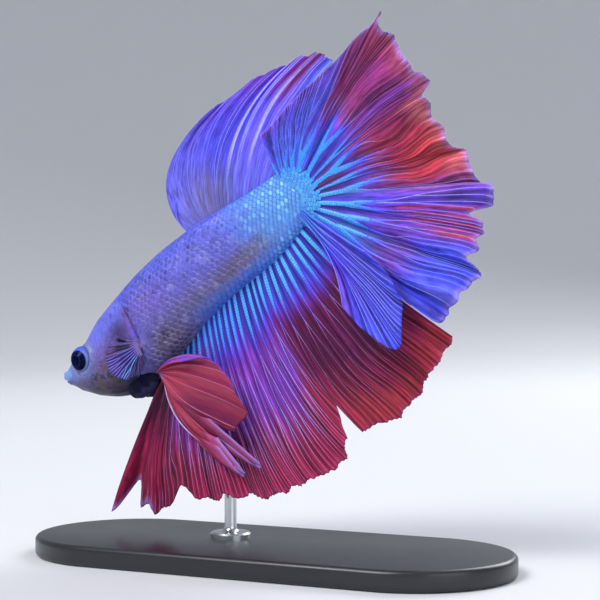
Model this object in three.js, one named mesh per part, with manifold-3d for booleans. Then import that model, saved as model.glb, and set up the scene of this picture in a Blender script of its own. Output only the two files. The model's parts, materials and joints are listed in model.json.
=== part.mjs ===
// A male halfmoon betta (Betta splendens), life size, nose down on a plain display stand.
//
// The fish is drawn in its own frame, in millimetres: the tip of the snout is the origin, +X runs
// back along the body to the tail, +Z is up towards the back, and -Y is the fish's left side.
// One group then pitches it nose down and lifts it over the stand. In the part's frame +X points
// the way the tail does, +Z is up, and the origin is under the middle of the stand's base.

import * as THREE from "three";
import { mergeVertices } from "three/addons/utils/BufferGeometryUtils.js";
import Module from "manifold-3d";

const wasm = await Module();
wasm.setup();

// ---------------------------------------------------------------- driving dimensions, mm and degrees

const GAP = 0.3; // between neighbouring pieces
const PITCH = 33.8; // how far the head points below the tail
const SNOUT_X = -34.5; // where the tip of the snout is, from the middle of the base
const SNOUT_Z = 25.9; // and its height over the table

const BODY_LENGTH = 49.9; // snout to the end of the tail stalk
const HEAD_END = 16.3; // the head's length, to the edge of the gill cover
const TRUNK_END = 40; // where the tail stalk begins
const FIN_THICKNESS = 0.6; // measured across the fish
const FULLNESS = 0.88; // under 1 rounds the flanks out past a plain ellipse

// The body's outline at stations behind the snout: the height of the back, the depth of the
// belly and half the width.
const STATIONS = [
  { at: 0.3, back: 0.3, belly: -0.95, half: 0.6 },
  { at: 0.8, back: 0.75, belly: -2, half: 1.2 },
  { at: 2, back: 1.2, belly: -3.7, half: 2 },
  { at: 4.2, back: 2, belly: -5.85, half: 3.05 },
  { at: 7, back: 2.95, belly: -7.6, half: 3.65 },
  { at: 10.5, back: 4.3, belly: -8.7, half: 4.1 },
  { at: 15, back: 5.3, belly: -8.9, half: 4.4 },
  { at: 20, back: 6.25, belly: -7.9, half: 4.3 },
  { at: 26, back: 6.75, belly: -6.4, half: 3.9 },
  { at: 32, back: 6.75, belly: -5.7, half: 3.3 },
  { at: 38, back: 6.05, belly: -5.5, half: 2.6 },
  { at: 43, back: 5.45, belly: -4.8, half: 1.9 },
  { at: 47, back: 5.2, belly: -3.6, half: 1.15 },
  { at: 48.8, back: 4.2, belly: -2.4, half: 0.75 },
  { at: BODY_LENGTH, back: 3, belly: -1.2, half: 0.5 },
];
const RING_SIDES = 24;

const EYE = { at: 6.0, side: 2.55, up: -0.1, radius: 1.95, flat: 0.84 };
const MOUTH = { at: 0.2, up: -0.75, drop: 38, corner: 4.4 }; // the cut slants down to the jaw's joint

// Each fin is a fan of leading rays, front to back. A ray has its root, its tip, how far its
// middle bows forward of a straight line, how far its tip swings to the fish's right, and how
// deep the web is notched before the next ray.
const DORSAL_RAYS = [
  { root: 30.2, tip: [30, 9.9], bow: 0.3, swing: 0.2, notch: 1.0 },
  { root: 31, tip: [38.5, 18.7], bow: 4.2, swing: 0.5, notch: 0.1 },
  { root: 32.6, tip: [44.5, 19.5], bow: 4.4, swing: 1.1, notch: 0.1 },
  { root: 34.4, tip: [50.5, 19.4], bow: 4.2, swing: 1.6, notch: 0.2 },
  { root: 36.4, tip: [55.2, 18.4], bow: 3.7, swing: 2.0, notch: 0.2 },
  { root: 38.6, tip: [58.8, 17.8], bow: 3.2, swing: 2.2, notch: 0.5 },
  { root: 40.8, tip: [61.3, 16.6], bow: 2.6, swing: 2.2, notch: 0.2 },
  { root: 43, tip: [62.4, 14.2], bow: 2, swing: 2, notch: 0.2 },
  { root: 45, tip: [62.6, 11.6], bow: 1.4, swing: 1.8, notch: 0.2 },
  { root: 46.4, tip: [60, 9.4], bow: 0.8, swing: 1.6, notch: 0 },
];

const ANAL_RAYS = [
  { root: 16.6, tip: [-6.2, -20.7], bow: 0.3, swing: 3.2, notch: 4.8 },
  { root: 17.6, tip: [-1, -22.6], bow: 0.5, swing: 3, notch: 1.2 },
  { root: 18.6, tip: [0.8, -25], bow: 0.6, swing: 2.6, notch: 0.4 },
  { root: 19.6, tip: [3.8, -25.5], bow: 0.7, swing: 2.2, notch: 2.4 },
  { root: 21, tip: [10, -27.4], bow: 0.8, swing: -0.7, notch: 0.2 },
  { root: 22.4, tip: [12.8, -29.5], bow: 0.8, swing: -1.1, notch: 1.1 },
  { root: 24, tip: [16, -31.1], bow: 0.7, swing: -1.4, notch: 0.8 },
  { root: 26.2, tip: [19.6, -33.3], bow: 1.3, swing: -1.1, notch: 0.2 },
  { root: 28.4, tip: [22.8, -34.1], bow: 1.8, swing: -1.2, notch: 0.7 },
  { root: 30.6, tip: [26.4, -34.7], bow: 2.1, swing: -1.5, notch: 0.3 },
  { root: 33.2, tip: [31.4, -35.6], bow: 2.3, swing: -1.1, notch: 0.2 },
  { root: 35, tip: [34.2, -34.4], bow: 2.3, swing: -0.9, notch: 0 },
  { root: 35.9, tip: [35.3, -32.6], bow: 2.2, swing: -0.7, notch: 5.2 },
  { root: 38.2, tip: [37.5, -33], bow: 1.9, swing: 0.6, notch: 0.3 },
  { root: 40.4, tip: [42.6, -33.9], bow: 1.5, swing: 1.1, notch: 0.5 },
  { root: 42.6, tip: [47.4, -33.1], bow: 1.1, swing: 0.6, notch: 0.5 },
  { root: 44.8, tip: [51.4, -31], bow: 0.7, swing: 1, notch: 0.3 },
  { root: 46.6, tip: [56.2, -29.4], bow: 0.4, swing: 0.7, notch: 0 },
];

// The tail fans out from one middle, so its rays are given by angle above the body's line and
// by length.
const FAN_MIDDLE = [46.4, 0.5];
const FAN_ROOT = 2.6; // how far from that middle the rays leave the stalk
const CAUDAL_RAYS = [
  { angle: 77, length: 10.2, bow: 0.3, swing: -1.6, notch: 0.1 },
  { angle: 55, length: 12.8, bow: 0.6, swing: -2.2, notch: 0.1 },
  { angle: 37.5, length: 18.1, bow: 0.6, swing: -2.6, notch: 0.1 },
  { angle: 29.5, length: 24.1, bow: 0.6, swing: -2.4, notch: 0.1 },
  { angle: 27.1, length: 27.2, bow: 0.5, swing: -1.9, notch: 0 },
  { angle: 26.1, length: 29.9, bow: 0.5, swing: -1.6, notch: 0 },
  { angle: 24.4, length: 28, bow: 0.7, swing: -1.3, notch: 0.1 },
  { angle: 19.4, length: 27.7, bow: 1.4, swing: -0.6, notch: 0.2 },
  { angle: 10.5, length: 26.8, bow: 1.2, swing: -1.8, notch: 0.5 },
  { angle: 4.5, length: 27.2, bow: 1, swing: -2.9, notch: 0.3 },
  { angle: 1.1, length: 27.7, bow: 1, swing: -3, notch: 0 },
  { angle: -0.8, length: 25.1, bow: 1, swing: -2.6, notch: 0 },
  { angle: -3.6, length: 25.7, bow: 0.9, swing: -1.8, notch: 0.9 },
  { angle: -12.5, length: 25.9, bow: 0.8, swing: -2.2, notch: 0.2 },
  { angle: -18.6, length: 26.2, bow: 0.8, swing: -2.1, notch: 0 },
  { angle: -21.4, length: 28, bow: 0.7, swing: -1.4, notch: 0.1 },
  { angle: -29.6, length: 28.9, bow: 0.6, swing: -0.8, notch: 0 },
  { angle: -31.8, length: 31.1, bow: 0.5, swing: -2.4, notch: 0 },
  { angle: -36.6, length: 31.6, bow: 0.4, swing: -3.4, notch: 2.6 },
  { angle: -40.9, length: 30.1, bow: 0.4, swing: -2.4, notch: 0.1 },
  { angle: -43.6, length: 30.3, bow: 0.3, swing: -1.8, notch: 0.9 },
  { angle: -47.8, length: 30.4, bow: 0.2, swing: -2.4, notch: 1.5 },
  { angle: -52.6, length: 30.9, bow: 0.1, swing: -2.2, notch: 0 },
  { angle: -54.4, length: 31.7, bow: 0, swing: -2, notch: 0.2 },
  { angle: -57.8, length: 31, bow: -0.1, swing: -2.4, notch: 0.6 },
  { angle: -62.6, length: 30.2, bow: -0.2, swing: -2.8, notch: 0.4 },
  { angle: -66.4, length: 29.9, bow: -0.4, swing: -2.4, notch: 0.2 },
  { angle: -69.4, length: 29.7, bow: -0.5, swing: -2.2, notch: 0.2 },
  { angle: -71.4, length: 22, bow: -0.7, swing: -1.6, notch: 0 },
];
const LOBE_RAYS = [
  { angle: -62.5, length: 15.6, bow: -0.2, swing: -3.6, notch: 0 },
  { angle: -66, length: 20.8, bow: -0.4, swing: -4, notch: 0 },
  { angle: -70, length: 23.7, bow: -0.5, swing: -4.2, notch: 0 },
  { angle: -75, length: 25.8, bow: -0.4, swing: -4.3, notch: 0 },
  { angle: -79.2, length: 27.7, bow: -0.1, swing: -4.4, notch: 0 },
  { angle: -81.6, length: 28, bow: 0.4, swing: -4.4, notch: 0 },
  { angle: -84.4, length: 25.9, bow: 0.9, swing: -4.3, notch: 0 },
  { angle: -86.8, length: 22.8, bow: 1.3, swing: -4.2, notch: 0 },
  { angle: -88.6, length: 18.4, bow: 1.5, swing: -4, notch: 0 },
];

// A paired fin's rays leave one point, and are given by their tips. Here swing is out from the
// body's middle plane, on either side.
const PELVIC_ROOT = { at: 15.2, side: 1.4, up: -8.3 };
const PELVIC_RAYS = [
  { tip: [18.2, -23.9], bow: 2.7, swing: 1.4, notch: 0 },
  { tip: [19, -24.5], bow: 2.6, swing: 1.5, notch: 3.2 },
  { tip: [19.3, -28.9], bow: 2.5, swing: 1.6, notch: 0 },
  { tip: [20, -28.7], bow: 2.3, swing: 1.7, notch: 7 },
  { tip: [22.4, -29.4], bow: 2.1, swing: 2, notch: 0 },
  { tip: [23, -28.9], bow: 1.9, swing: 2.1, notch: 7.2 },
  { tip: [22.4, -23.2], bow: 1.3, swing: 2.8, notch: 0.2 },
  { tip: [26, -22], bow: -0.2, swing: 3.4, notch: 0.3 },
  { tip: [26.2, -17], bow: -1.4, swing: 3.6, notch: 0.1 },
  { tip: [24.8, -11.8], bow: -1.8, swing: 3.2, notch: 0.1 },
  { tip: [20.6, -9.4], bow: -1.1, swing: 2.8, notch: 0 },
];
const PELVIC_RIGHT = { turn: 16, wide: 1.5 }; // the right one is held further forward and out

const PECTORAL_ROOT = { at: 15.8, side: 4.2, up: -4.4 };
const PECTORAL_RAYS = [
  { tip: [14, -1.1], bow: 0.3, swing: 1.3, notch: 0.1 },
  { tip: [12.2, -1.9], bow: 0.3, swing: 1.8, notch: 0.1 },
  { tip: [11, -3.3], bow: 0.3, swing: 2.1, notch: 0.1 },
  { tip: [10.7, -5], bow: 0.2, swing: 2.3, notch: 0.1 },
  { tip: [11.2, -6.6], bow: 0.1, swing: 2.2, notch: 0.1 },
  { tip: [12.5, -7.9], bow: -0.1, swing: 2, notch: 0.1 },
  { tip: [14.4, -8.3], bow: -0.3, swing: 1.6, notch: 0 },
];

const BASE = { length: 74, width: 30, height: 3, corner: 14.9, bevel: 0.7 };
const ROD = { x: -7, y: 2, radius: 0.9, footRadius: 3, footHeight: 0.8 };

const FLESH = 0x8186c9;
const VIOLET = 0x6a5fd8;
const CRIMSON = 0xb5304f;

// ---------------------------------------------------------------- small helpers

const radians = THREE.MathUtils.degToRad;

// The value of one column of a table at a place among its rows, along a smooth curve that never
// passes beyond the rows on either side.
function along(rows, value, place) {
  const last = rows.length - 1;
  const row = Math.min(Math.max(Math.floor(place), 0), last - 1);
  const t = place - row;
  const rise = (i) => value(rows[i + 1]) - value(rows[i]);
  const slope = (i) => {
    if (i === 0) return rise(0);
    if (i === last) return rise(last - 1);
    const [before, after] = [rise(i - 1), rise(i)];
    return before * after <= 0 ? 0 : (2 * before * after) / (before + after);
  };
  const [a, b] = [value(rows[row]), value(rows[row + 1])];
  return (
    a * (1 + 2 * t) * (1 - t) ** 2 +
    slope(row) * t * (1 - t) ** 2 +
    b * t * t * (3 - 2 * t) +
    slope(row + 1) * t * t * (t - 1)
  );
}

// The place among the body's stations of a distance behind the snout.
function stationPlace(at) {
  let row = 0;
  while (row < STATIONS.length - 2 && STATIONS[row + 1].at < at) row += 1;
  const [a, b] = [STATIONS[row].at, STATIONS[row + 1].at];
  return row + (at - a) / (b - a);
}

function outline(at) {
  const place = stationPlace(THREE.MathUtils.clamp(at, STATIONS[0].at, BODY_LENGTH));
  return {
    back: along(STATIONS, (s) => s.back, place),
    belly: along(STATIONS, (s) => s.belly, place),
    half: along(STATIONS, (s) => s.half, place),
  };
}

// A point of the body's surface, at a turn of 0 along the back, a quarter on the fish's left
// flank and a half along the belly. extra moves it out from the surface.
function skinPoint(at, turn, extra = 0) {
  const { back, belly, half } = outline(at);
  const middle = (back + belly) / 2;
  const angle = 2 * Math.PI * turn;
  const [s, c] = [Math.sin(angle), Math.cos(angle)];
  const side = (half + extra) * Math.sign(s) * Math.abs(s) ** FULLNESS;
  return new THREE.Vector3(at, -side, middle + ((back - belly) / 2 + extra) * c);
}

// A closed solid through rings of points, each ring turning the same way, with flat ends.
function skinOver(rings) {
  const count = rings[0].length;
  const middle = (ring) =>
    ring.reduce((sum, p) => sum.add(p), new THREE.Vector3()).divideScalar(count);
  const points = [...rings.flat(), middle(rings[0]), middle(rings.at(-1))];
  const [front, back] = [points.length - 2, points.length - 1];
  const faces = [];
  for (let j = 0; j < count; j += 1) {
    const k = (j + 1) % count;
    for (let i = 0; i < rings.length - 1; i += 1) {
      const [a, b] = [i * count + j, i * count + k];
      faces.push(a, b, b + count, a, b + count, a + count);
    }
    const rim = (rings.length - 1) * count;
    faces.push(front, k, j, back, rim + j, rim + k);
  }
  return new THREE.BufferGeometry().setFromPoints(points).setIndex(faces);
}

// A geometry as a solid that can be cut and joined.
function solid(geometry) {
  const bare = geometry.clone();
  bare.deleteAttribute("normal");
  bare.deleteAttribute("uv");
  const merged = mergeVertices(bare, 1e-4);
  const made = new wasm.Manifold(
    new wasm.Mesh({
      numProp: 3,
      vertProperties: merged.attributes.position.array,
      triVerts: new Uint32Array(merged.index.array),
    }),
  );
  return made.volume() < 0 ? turnedOut(merged) : made;
}

function turnedOut(geometry) {
  const index = geometry.index.array;
  for (let i = 0; i < index.length; i += 3) {
    [index[i], index[i + 1]] = [index[i + 1], index[i]];
  }
  return new wasm.Manifold(
    new wasm.Mesh({
      numProp: 3,
      vertProperties: geometry.attributes.position.array,
      triVerts: new Uint32Array(index),
    }),
  );
}

function geometryOf(made) {
  const { vertProperties, triVerts } = made.getMesh();
  return new THREE.BufferGeometry()
    .setAttribute("position", new THREE.BufferAttribute(vertProperties, 3))
    .setIndex(new THREE.BufferAttribute(triVerts, 1));
}

// The largest piece of a solid that a cut has left in several.
function largest(made) {
  return made.decompose().reduce((a, b) => (a.volume() > b.volume() ? a : b));
}

function named(name, made, color, roughness = 0.45, metalness = 0) {
  const material = new THREE.MeshStandardMaterial({ color, roughness, metalness });
  material.flatShading = true;
  const mesh = new THREE.Mesh(geometryOf(largest(made.simplify(0.01))), material);
  mesh.name = name;
  return mesh;
}

// ---------------------------------------------------------------- head, trunk and tail stalk

function bodyBetween(from, to, step, extra = 0) {
  const steps = Math.ceil((to - from) / step);
  const rings = [];
  for (let i = 0; i <= steps; i += 1) {
    const at = from + ((to - from) * i) / steps;
    const ring = [];
    for (let j = 0; j < RING_SIDES; j += 1) {
      ring.push(skinPoint(at, j / RING_SIDES, extra));
    }
    rings.push(ring);
  }
  return solid(skinOver(rings));
}

function ball(at, side, up, radii) {
  const sphere = new THREE.SphereGeometry(1, 14, 9);
  return solid(sphere.scale(...radii).translate(at, side, up));
}

function eyeBall(sign, margin = 0) {
  const radius = EYE.radius + margin;
  return ball(EYE.at, sign * EYE.side, EYE.up, [radius, EYE.flat * radius, radius]);
}

// All that lies under the cut and ahead of the jaw's joint.
function jawRegion(margin) {
  const block = new THREE.BoxGeometry(40, 30, 20);
  block.translate(20, 0, -10 + margin).rotateY(radians(MOUTH.drop));
  block.translate(MOUTH.at - 2, 0, MOUTH.up + 2 * Math.tan(radians(MOUTH.drop)));
  const ahead = new THREE.BoxGeometry(20, 30, 30).translate(MOUTH.corner + margin - 10, 0, 0);
  return solid(block).intersect(solid(ahead));
}

// The gill cover is a plate that follows the cheek, thicker and prouder towards its free edge.
const COVER = { front: 9, rear: 16.6, top: 0.105, bottom: 0.4, proud: 0.12, flare: 0.2, deep: 0.45 };

function gillCover(left, margin = 0) {
  const [columns, rows] = [5, 7];
  const layer = (extra) => (i, j) => {
    const [u, v] = [i / columns, j / rows];
    const corner = 1 - Math.sqrt(1 - (2 * v - 1) ** 2);
    const front = COVER.front + 1.2 * corner - margin;
    const rear = COVER.rear - 1.1 * corner - 3 * v ** 4 + margin;
    const at = THREE.MathUtils.lerp(front, rear, u);
    const turn = THREE.MathUtils.lerp(COVER.top - 0.03 * margin, COVER.bottom + 0.03 * margin, v);
    return skinPoint(at, left ? turn : 1 - turn, extra(u));
  };
  const outer = layer((u) => COVER.proud + COVER.flare * u * u + margin);
  const inner = layer(() => -COVER.deep - margin);
  return solid(closedSheet(outer, inner, columns, rows));
}

// A closed solid between two layers of points over one grid.
function closedSheet(outer, inner, columns, rows) {
  const points = [];
  const place = (i, j, layer) => (layer * (rows + 1) + j) * (columns + 1) + i;
  for (const layer of [outer, inner]) {
    for (let j = 0; j <= rows; j += 1) {
      for (let i = 0; i <= columns; i += 1) points.push(layer(i, j));
    }
  }
  const faces = [];
  const quad = (a, b, c, d) => faces.push(a, b, c, a, c, d);
  for (let j = 0; j < rows; j += 1) {
    for (let i = 0; i < columns; i += 1) {
      quad(place(i, j, 0), place(i + 1, j, 0), place(i + 1, j + 1, 0), place(i, j + 1, 0));
      quad(place(i, j, 1), place(i, j + 1, 1), place(i + 1, j + 1, 1), place(i + 1, j, 1));
    }
  }
  for (let i = 0; i < columns; i += 1) {
    quad(place(i, 0, 1), place(i + 1, 0, 1), place(i + 1, 0, 0), place(i, 0, 0));
    quad(place(i, rows, 0), place(i + 1, rows, 0), place(i + 1, rows, 1), place(i, rows, 1));
  }
  for (let j = 0; j < rows; j += 1) {
    quad(place(0, j, 0), place(0, j + 1, 0), place(0, j + 1, 1), place(0, j, 1));
    quad(place(columns, j, 1), place(columns, j + 1, 1), place(columns, j + 1, 0), place(columns, j, 0));
  }
  return new THREE.BufferGeometry().setFromPoints(points).setIndex(faces);
}

const MEMBRANE = { at: 11.9, side: 1.7, up: -8.5, radii: [3, 1.5, 1.95] };

const wholeBody = bodyBetween(STATIONS[0].at, BODY_LENGTH + GAP, 2.2, GAP);

function buildHead() {
  const plain = bodyBetween(STATIONS[0].at, HEAD_END - GAP / 2, 1.3);
  const parts = [];
  let head = plain;
  for (const left of [true, false]) {
    const sign = left ? -1 : 1;
    const word = left ? "left" : "right";
    head = head.subtract(eyeBall(sign, GAP));
    head = head.subtract(gillCover(left, GAP));
    parts.push(named(`eye_${word}`, eyeBall(sign), 0x10131f, 0.1));
    parts.push(named(`gill_cover_${word}`, gillCover(left), FLESH));
    const membrane = ball(MEMBRANE.at, sign * MEMBRANE.side, MEMBRANE.up, MEMBRANE.radii);
    parts.push(named(`gill_membrane_${word}`, membraneBeside(membrane, left), 0x14163a));
  }
  const jaw = head.intersect(jawRegion(-GAP / 2));
  head = head.subtract(jawRegion(GAP / 2));
  return [named("head", head, FLESH), named("lower_jaw", jaw, FLESH), ...parts];
}

// The folded membrane under a gill cover stays on its own side and clear of the throat.
function membraneBeside(shape, left) {
  const sign = left ? -1 : 1;
  const half = new THREE.BoxGeometry(40, 20, 40).translate(0, sign * (10 + GAP / 2), 0);
  return shape.intersect(solid(half)).subtract(wholeBody).subtract(gillCover(left, GAP));
}

function buildTrunk() {
  const plain = bodyBetween(HEAD_END + GAP / 2, TRUNK_END - GAP / 2, 2.1);
  const trunk = plain.subtract(gillCover(true, GAP)).subtract(gillCover(false, GAP));
  const stalk = bodyBetween(TRUNK_END + GAP / 2, BODY_LENGTH, 1.4);
  return [named("trunk", trunk, FLESH), named("tail_stalk", stalk, FLESH)];
}

// ---------------------------------------------------------------- fins

// A fin's ray at a place among its leading rays: its root, its tip and how it bends.
function rayAt(rays, place) {
  const t = place - Math.floor(place);
  const row = Math.min(Math.floor(place), rays.length - 1);
  const notch = rays[row].notch * Math.sin(Math.PI * t) ** 2;
  const root = new THREE.Vector3(
    along(rays, (r) => r.start[0], place),
    along(rays, (r) => r.start[1], place),
    along(rays, (r) => r.start[2], place),
  );
  const tip = new THREE.Vector3(
    along(rays, (r) => r.tip[0], place),
    root.y,
    along(rays, (r) => r.tip[1], place),
  );
  tip.lerp(root, notch / tip.distanceTo(root));
  return {
    root,
    tip,
    bow: along(rays, (r) => r.bow, place),
    swing: along(rays, (r) => r.swing, place),
  };
}

// A point of a fin's middle surface: reach is 0 at the root and 1 at the web's edge. The web
// ripples from side to side, more towards its edge.
function finPoint(fin, place, reach) {
  const { root, tip, bow, swing } = rayAt(fin.rays, place);
  const forward = new THREE.Vector3(tip.z - root.z, 0, root.x - tip.x).normalize();
  if (fin.forwardUp) forward.negate();
  const point = root.clone().lerp(tip, reach);
  point.addScaledVector(forward, 4 * bow * reach * (1 - reach));
  const ripple = fin.ripple * Math.sin(2 * Math.PI * place * fin.waves) * reach ** 2;
  point.y += swing * reach ** fin.curve + ripple;
  return point;
}

// The web is thickened to either side of the fish, so that folds never run into each other.
function finSolid(fin) {
  const [perRay, rows] = [2, fin.rows];
  const columns = (fin.rays.length - 1) * perRay;
  const layer = (side) => (i, j) => {
    const point = finPoint(fin, i / perRay, j / rows);
    point.y += (side * FIN_THICKNESS) / 2;
    return point;
  };
  return solid(closedSheet(layer(1), layer(-1), columns, rows));
}

// The middle fins start a little inside the body, and are then cut back from it.
const ROOT_SUNK = 0.6;

function middleFin(rays, edge) {
  return rays.map((ray) => {
    const { back, belly } = outline(ray.root);
    const height = edge === "back" ? back - ROOT_SUNK : belly + ROOT_SUNK;
    return { ...ray, start: [ray.root, 0, height] };
  });
}

function tailFin(rays, side) {
  return rays.map((ray) => {
    const [c, s] = [Math.cos(radians(ray.angle)), Math.sin(radians(ray.angle))];
    const point = (r) => [FAN_MIDDLE[0] + r * c, FAN_MIDDLE[1] + r * s];
    const [x, z] = point(FAN_ROOT);
    return { ...ray, start: [x, side, z], tip: point(ray.length) };
  });
}

function pairedFin(rays, root, left, turn = 0, wide = 1) {
  const sign = left ? -1 : 1;
  return rays.map((ray, i) => {
    const lean = new THREE.Vector2(ray.tip[0] - root.at, ray.tip[1] - root.up);
    lean.rotateAround(new THREE.Vector2(), -radians(turn));
    const spread = root.spread * (i / (rays.length - 1) - 0.5);
    const start = [root.at - spread * root.slant[0], sign * root.side, root.up - spread * root.slant[1]];
    const tip = [root.at + lean.x, root.up + lean.y];
    return { ...ray, start, tip, swing: sign * wide * ray.swing };
  });
}

const FOLDS = { waves: 0.5, curve: 1.5, rows: 6 };
const DORSAL = { ...FOLDS, rows: 5, rays: middleFin(DORSAL_RAYS, "back"), ripple: 0.35, forwardUp: true };
const ANAL = { ...FOLDS, rows: 5, rays: middleFin(ANAL_RAYS, "belly"), ripple: 0.45 };
const CAUDAL = { ...FOLDS, rows: 4, rays: tailFin(CAUDAL_RAYS, -0.5), ripple: 0.4, forwardUp: true };
const LOBE = { ...FOLDS, rows: 5, rays: tailFin(LOBE_RAYS, -1.6), ripple: 0.3, forwardUp: true };

function buildFins() {
  const middle = [
    ["dorsal_fin", DORSAL, VIOLET],
    ["anal_fin", ANAL, CRIMSON],
    ["caudal_fin", CAUDAL, VIOLET],
    ["caudal_lower_lobe", LOBE, VIOLET],
  ];
  const parts = middle.map(([name, fin, color]) => {
    return named(name, finSolid(fin).subtract(wholeBody), color);
  });
  for (const left of [true, false]) {
    const word = left ? "left" : "right";
    const pelvicRoot = { ...PELVIC_ROOT, spread: 1.6, slant: [1, 0.1] };
    const pelvic = {
      rays: left
        ? pairedFin(PELVIC_RAYS, pelvicRoot, true)
        : pairedFin(PELVIC_RAYS, pelvicRoot, false, PELVIC_RIGHT.turn, PELVIC_RIGHT.wide),
      ripple: 0.25,
      waves: 0.5,
      curve: 1,
      rows: 5,
    };
    const pectoralRoot = { ...PECTORAL_ROOT, spread: 2.2, slant: [0.1, 1] };
    const pectoral = {
      rays: pairedFin(PECTORAL_RAYS, pectoralRoot, left),
      ripple: 0.15,
      waves: 0.5,
      curve: 0.7,
      rows: 4,
      forwardUp: true,
    };
    const pelvicSolid = finSolid(pelvic).subtract(wholeBody);
    const pectoralSolid = finSolid(pectoral).subtract(wholeBody).subtract(gillCover(left, GAP));
    parts.push(named(`pelvic_fin_${word}`, pelvicSolid, CRIMSON));
    parts.push(named(`pectoral_fin_${word}`, pectoralSolid, VIOLET));
  }
  return parts;
}

// ---------------------------------------------------------------- stand

function buildBase() {
  const { length, width, height, corner, bevel } = BASE;
  const [x, y, r] = [length / 2 - bevel, width / 2 - bevel, corner - bevel];
  const shape = new THREE.Shape();
  shape.absarc(x - r, y - r, r, 0, Math.PI / 2);
  shape.absarc(r - x, y - r, r, Math.PI / 2, Math.PI);
  shape.absarc(r - x, r - y, r, Math.PI, 1.5 * Math.PI);
  shape.absarc(x - r, r - y, r, 1.5 * Math.PI, 2 * Math.PI);
  const plate = new THREE.ExtrudeGeometry(shape, {
    depth: height - 2 * bevel,
    bevelThickness: bevel,
    bevelSize: bevel,
    bevelSegments: 2,
    curveSegments: 5,
  });
  return named("stand_base", solid(plate.translate(0, 0, bevel)), 0x15161a, 0.3);
}

// One turned rod with a foot, straight up to the flank beside the root of the anal fin.
function buildRod(fish) {
  const { x, y, radius, footRadius, footHeight } = ROD;
  const top = 50;
  const profile = [
    new THREE.Vector2(0, 0),
    new THREE.Vector2(footRadius, 0),
    new THREE.Vector2(footRadius, footHeight * 0.6),
    new THREE.Vector2(footRadius * 0.8, footHeight),
    new THREE.Vector2(radius, footHeight + 0.6),
    new THREE.Vector2(radius, top),
    new THREE.Vector2(0, top),
  ];
  const turned = new THREE.LatheGeometry(profile, 16).rotateX(Math.PI / 2);
  const rod = solid(turned.translate(x, y, BASE.height));
  fish.updateMatrixWorld(true);
  const body = geometryOf(wholeBody).applyMatrix4(fish.matrixWorld);
  const below = rod.subtract(solid(body)).decompose();
  const standing = below.reduce((a, b) => (a.boundingBox().min[2] < b.boundingBox().min[2] ? a : b));
  return named("stand_rod", standing, 0xb9bcc2, 0.25, 1);
}

// ---------------------------------------------------------------- the whole part

const fish = new THREE.Group();
fish.position.set(SNOUT_X, 0, SNOUT_Z);
fish.rotation.y = -radians(PITCH);
fish.add(...buildHead(), ...buildTrunk(), ...buildFins());

const betta = new THREE.Group();
betta.add(fish, buildBase(), buildRod(fish));

export default betta;
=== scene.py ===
# %% [markdown]
# # A male halfmoon betta on a display stand
#
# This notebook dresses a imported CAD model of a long-finned fish. The solids give the outline and
# the sizes. Here the fish gets one skin, overlapping scales, eyes, and fins made of thin web and
# branching rays, and then a stand, a studio, lights and a camera.
#
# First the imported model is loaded. It stays where it is, and every new piece is made around it.

import json
import math

import bmesh
import bpy
import numpy as np
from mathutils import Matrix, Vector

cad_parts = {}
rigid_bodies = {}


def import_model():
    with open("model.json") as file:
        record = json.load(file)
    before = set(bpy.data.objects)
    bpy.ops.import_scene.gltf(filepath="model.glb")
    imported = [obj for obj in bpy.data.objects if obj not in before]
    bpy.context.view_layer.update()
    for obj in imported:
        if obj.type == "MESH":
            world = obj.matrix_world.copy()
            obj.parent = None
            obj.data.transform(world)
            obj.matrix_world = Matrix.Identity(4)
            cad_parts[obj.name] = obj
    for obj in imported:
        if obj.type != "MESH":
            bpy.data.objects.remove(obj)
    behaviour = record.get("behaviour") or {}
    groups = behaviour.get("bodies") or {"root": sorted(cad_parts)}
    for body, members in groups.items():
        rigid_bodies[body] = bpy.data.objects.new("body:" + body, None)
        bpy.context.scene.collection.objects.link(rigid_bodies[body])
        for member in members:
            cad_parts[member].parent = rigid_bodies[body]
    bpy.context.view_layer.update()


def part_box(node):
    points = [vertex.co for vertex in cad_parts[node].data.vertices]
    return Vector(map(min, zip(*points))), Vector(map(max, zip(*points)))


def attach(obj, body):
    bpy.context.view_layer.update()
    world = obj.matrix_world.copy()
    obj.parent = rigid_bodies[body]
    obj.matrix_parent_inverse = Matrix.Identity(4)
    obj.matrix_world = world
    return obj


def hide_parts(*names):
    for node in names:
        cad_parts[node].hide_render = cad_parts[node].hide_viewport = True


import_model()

# %% [markdown]
# A fish is easiest to draw along its own body: the tip of the snout is the origin, +X runs back to
# the tail, +Z is up to the back, and -Y is the fish's left. The solids were drawn the same way, in
# millimetres, then pitched nose down and lifted over the stand. `to_part` does that to any points,
# so a piece drawn on the straight fish lands on the solids with no fitting.

# %% The fish's own frame
MM = 0.001
PITCH = math.radians(33.8)
SNOUT = np.array([-34.5, 0.0, 25.9])


def to_part(points):
    """Points on the straight fish, in millimetres, as metres in the part's frame."""
    c, s = math.cos(PITCH), math.sin(PITCH)
    x, y, z = np.asarray(points, float).T
    return (np.stack([x * c - z * s, y, x * s + z * c], axis=1) + SNOUT) * MM


head_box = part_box("head")
print("the head starts at, mm:", round(head_box[0].x / MM, 2), "and the snout is at", SNOUT[0])

# %% [markdown]
# Small helpers come next. `ease` goes smoothly from 0 to 1, `bump` is a soft hill, and `cloud` is
# smooth noise with the same value on every run. `paint` turns a colour as it is seen, from 0 to
# 255, into the linear numbers that a shader works in. `wash` lays one colour over another, as thin
# paint goes over paint, and `coats` lays on several in order.

# %% Helpers for shapes and colours


def ease(start, end, value):
    t = np.clip((np.asarray(value, float) - start) / (end - start), 0, 1)
    return t * t * (3 - 2 * t)


def bump(distance, width):
    return np.exp(-((distance / width) ** 2))


def hashed(cells, seed):
    mixed = np.sin(cells @ np.array([127.1, 311.7, 74.7]) + 19.19 * seed) * 43758.5453
    return mixed - np.floor(mixed)


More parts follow.
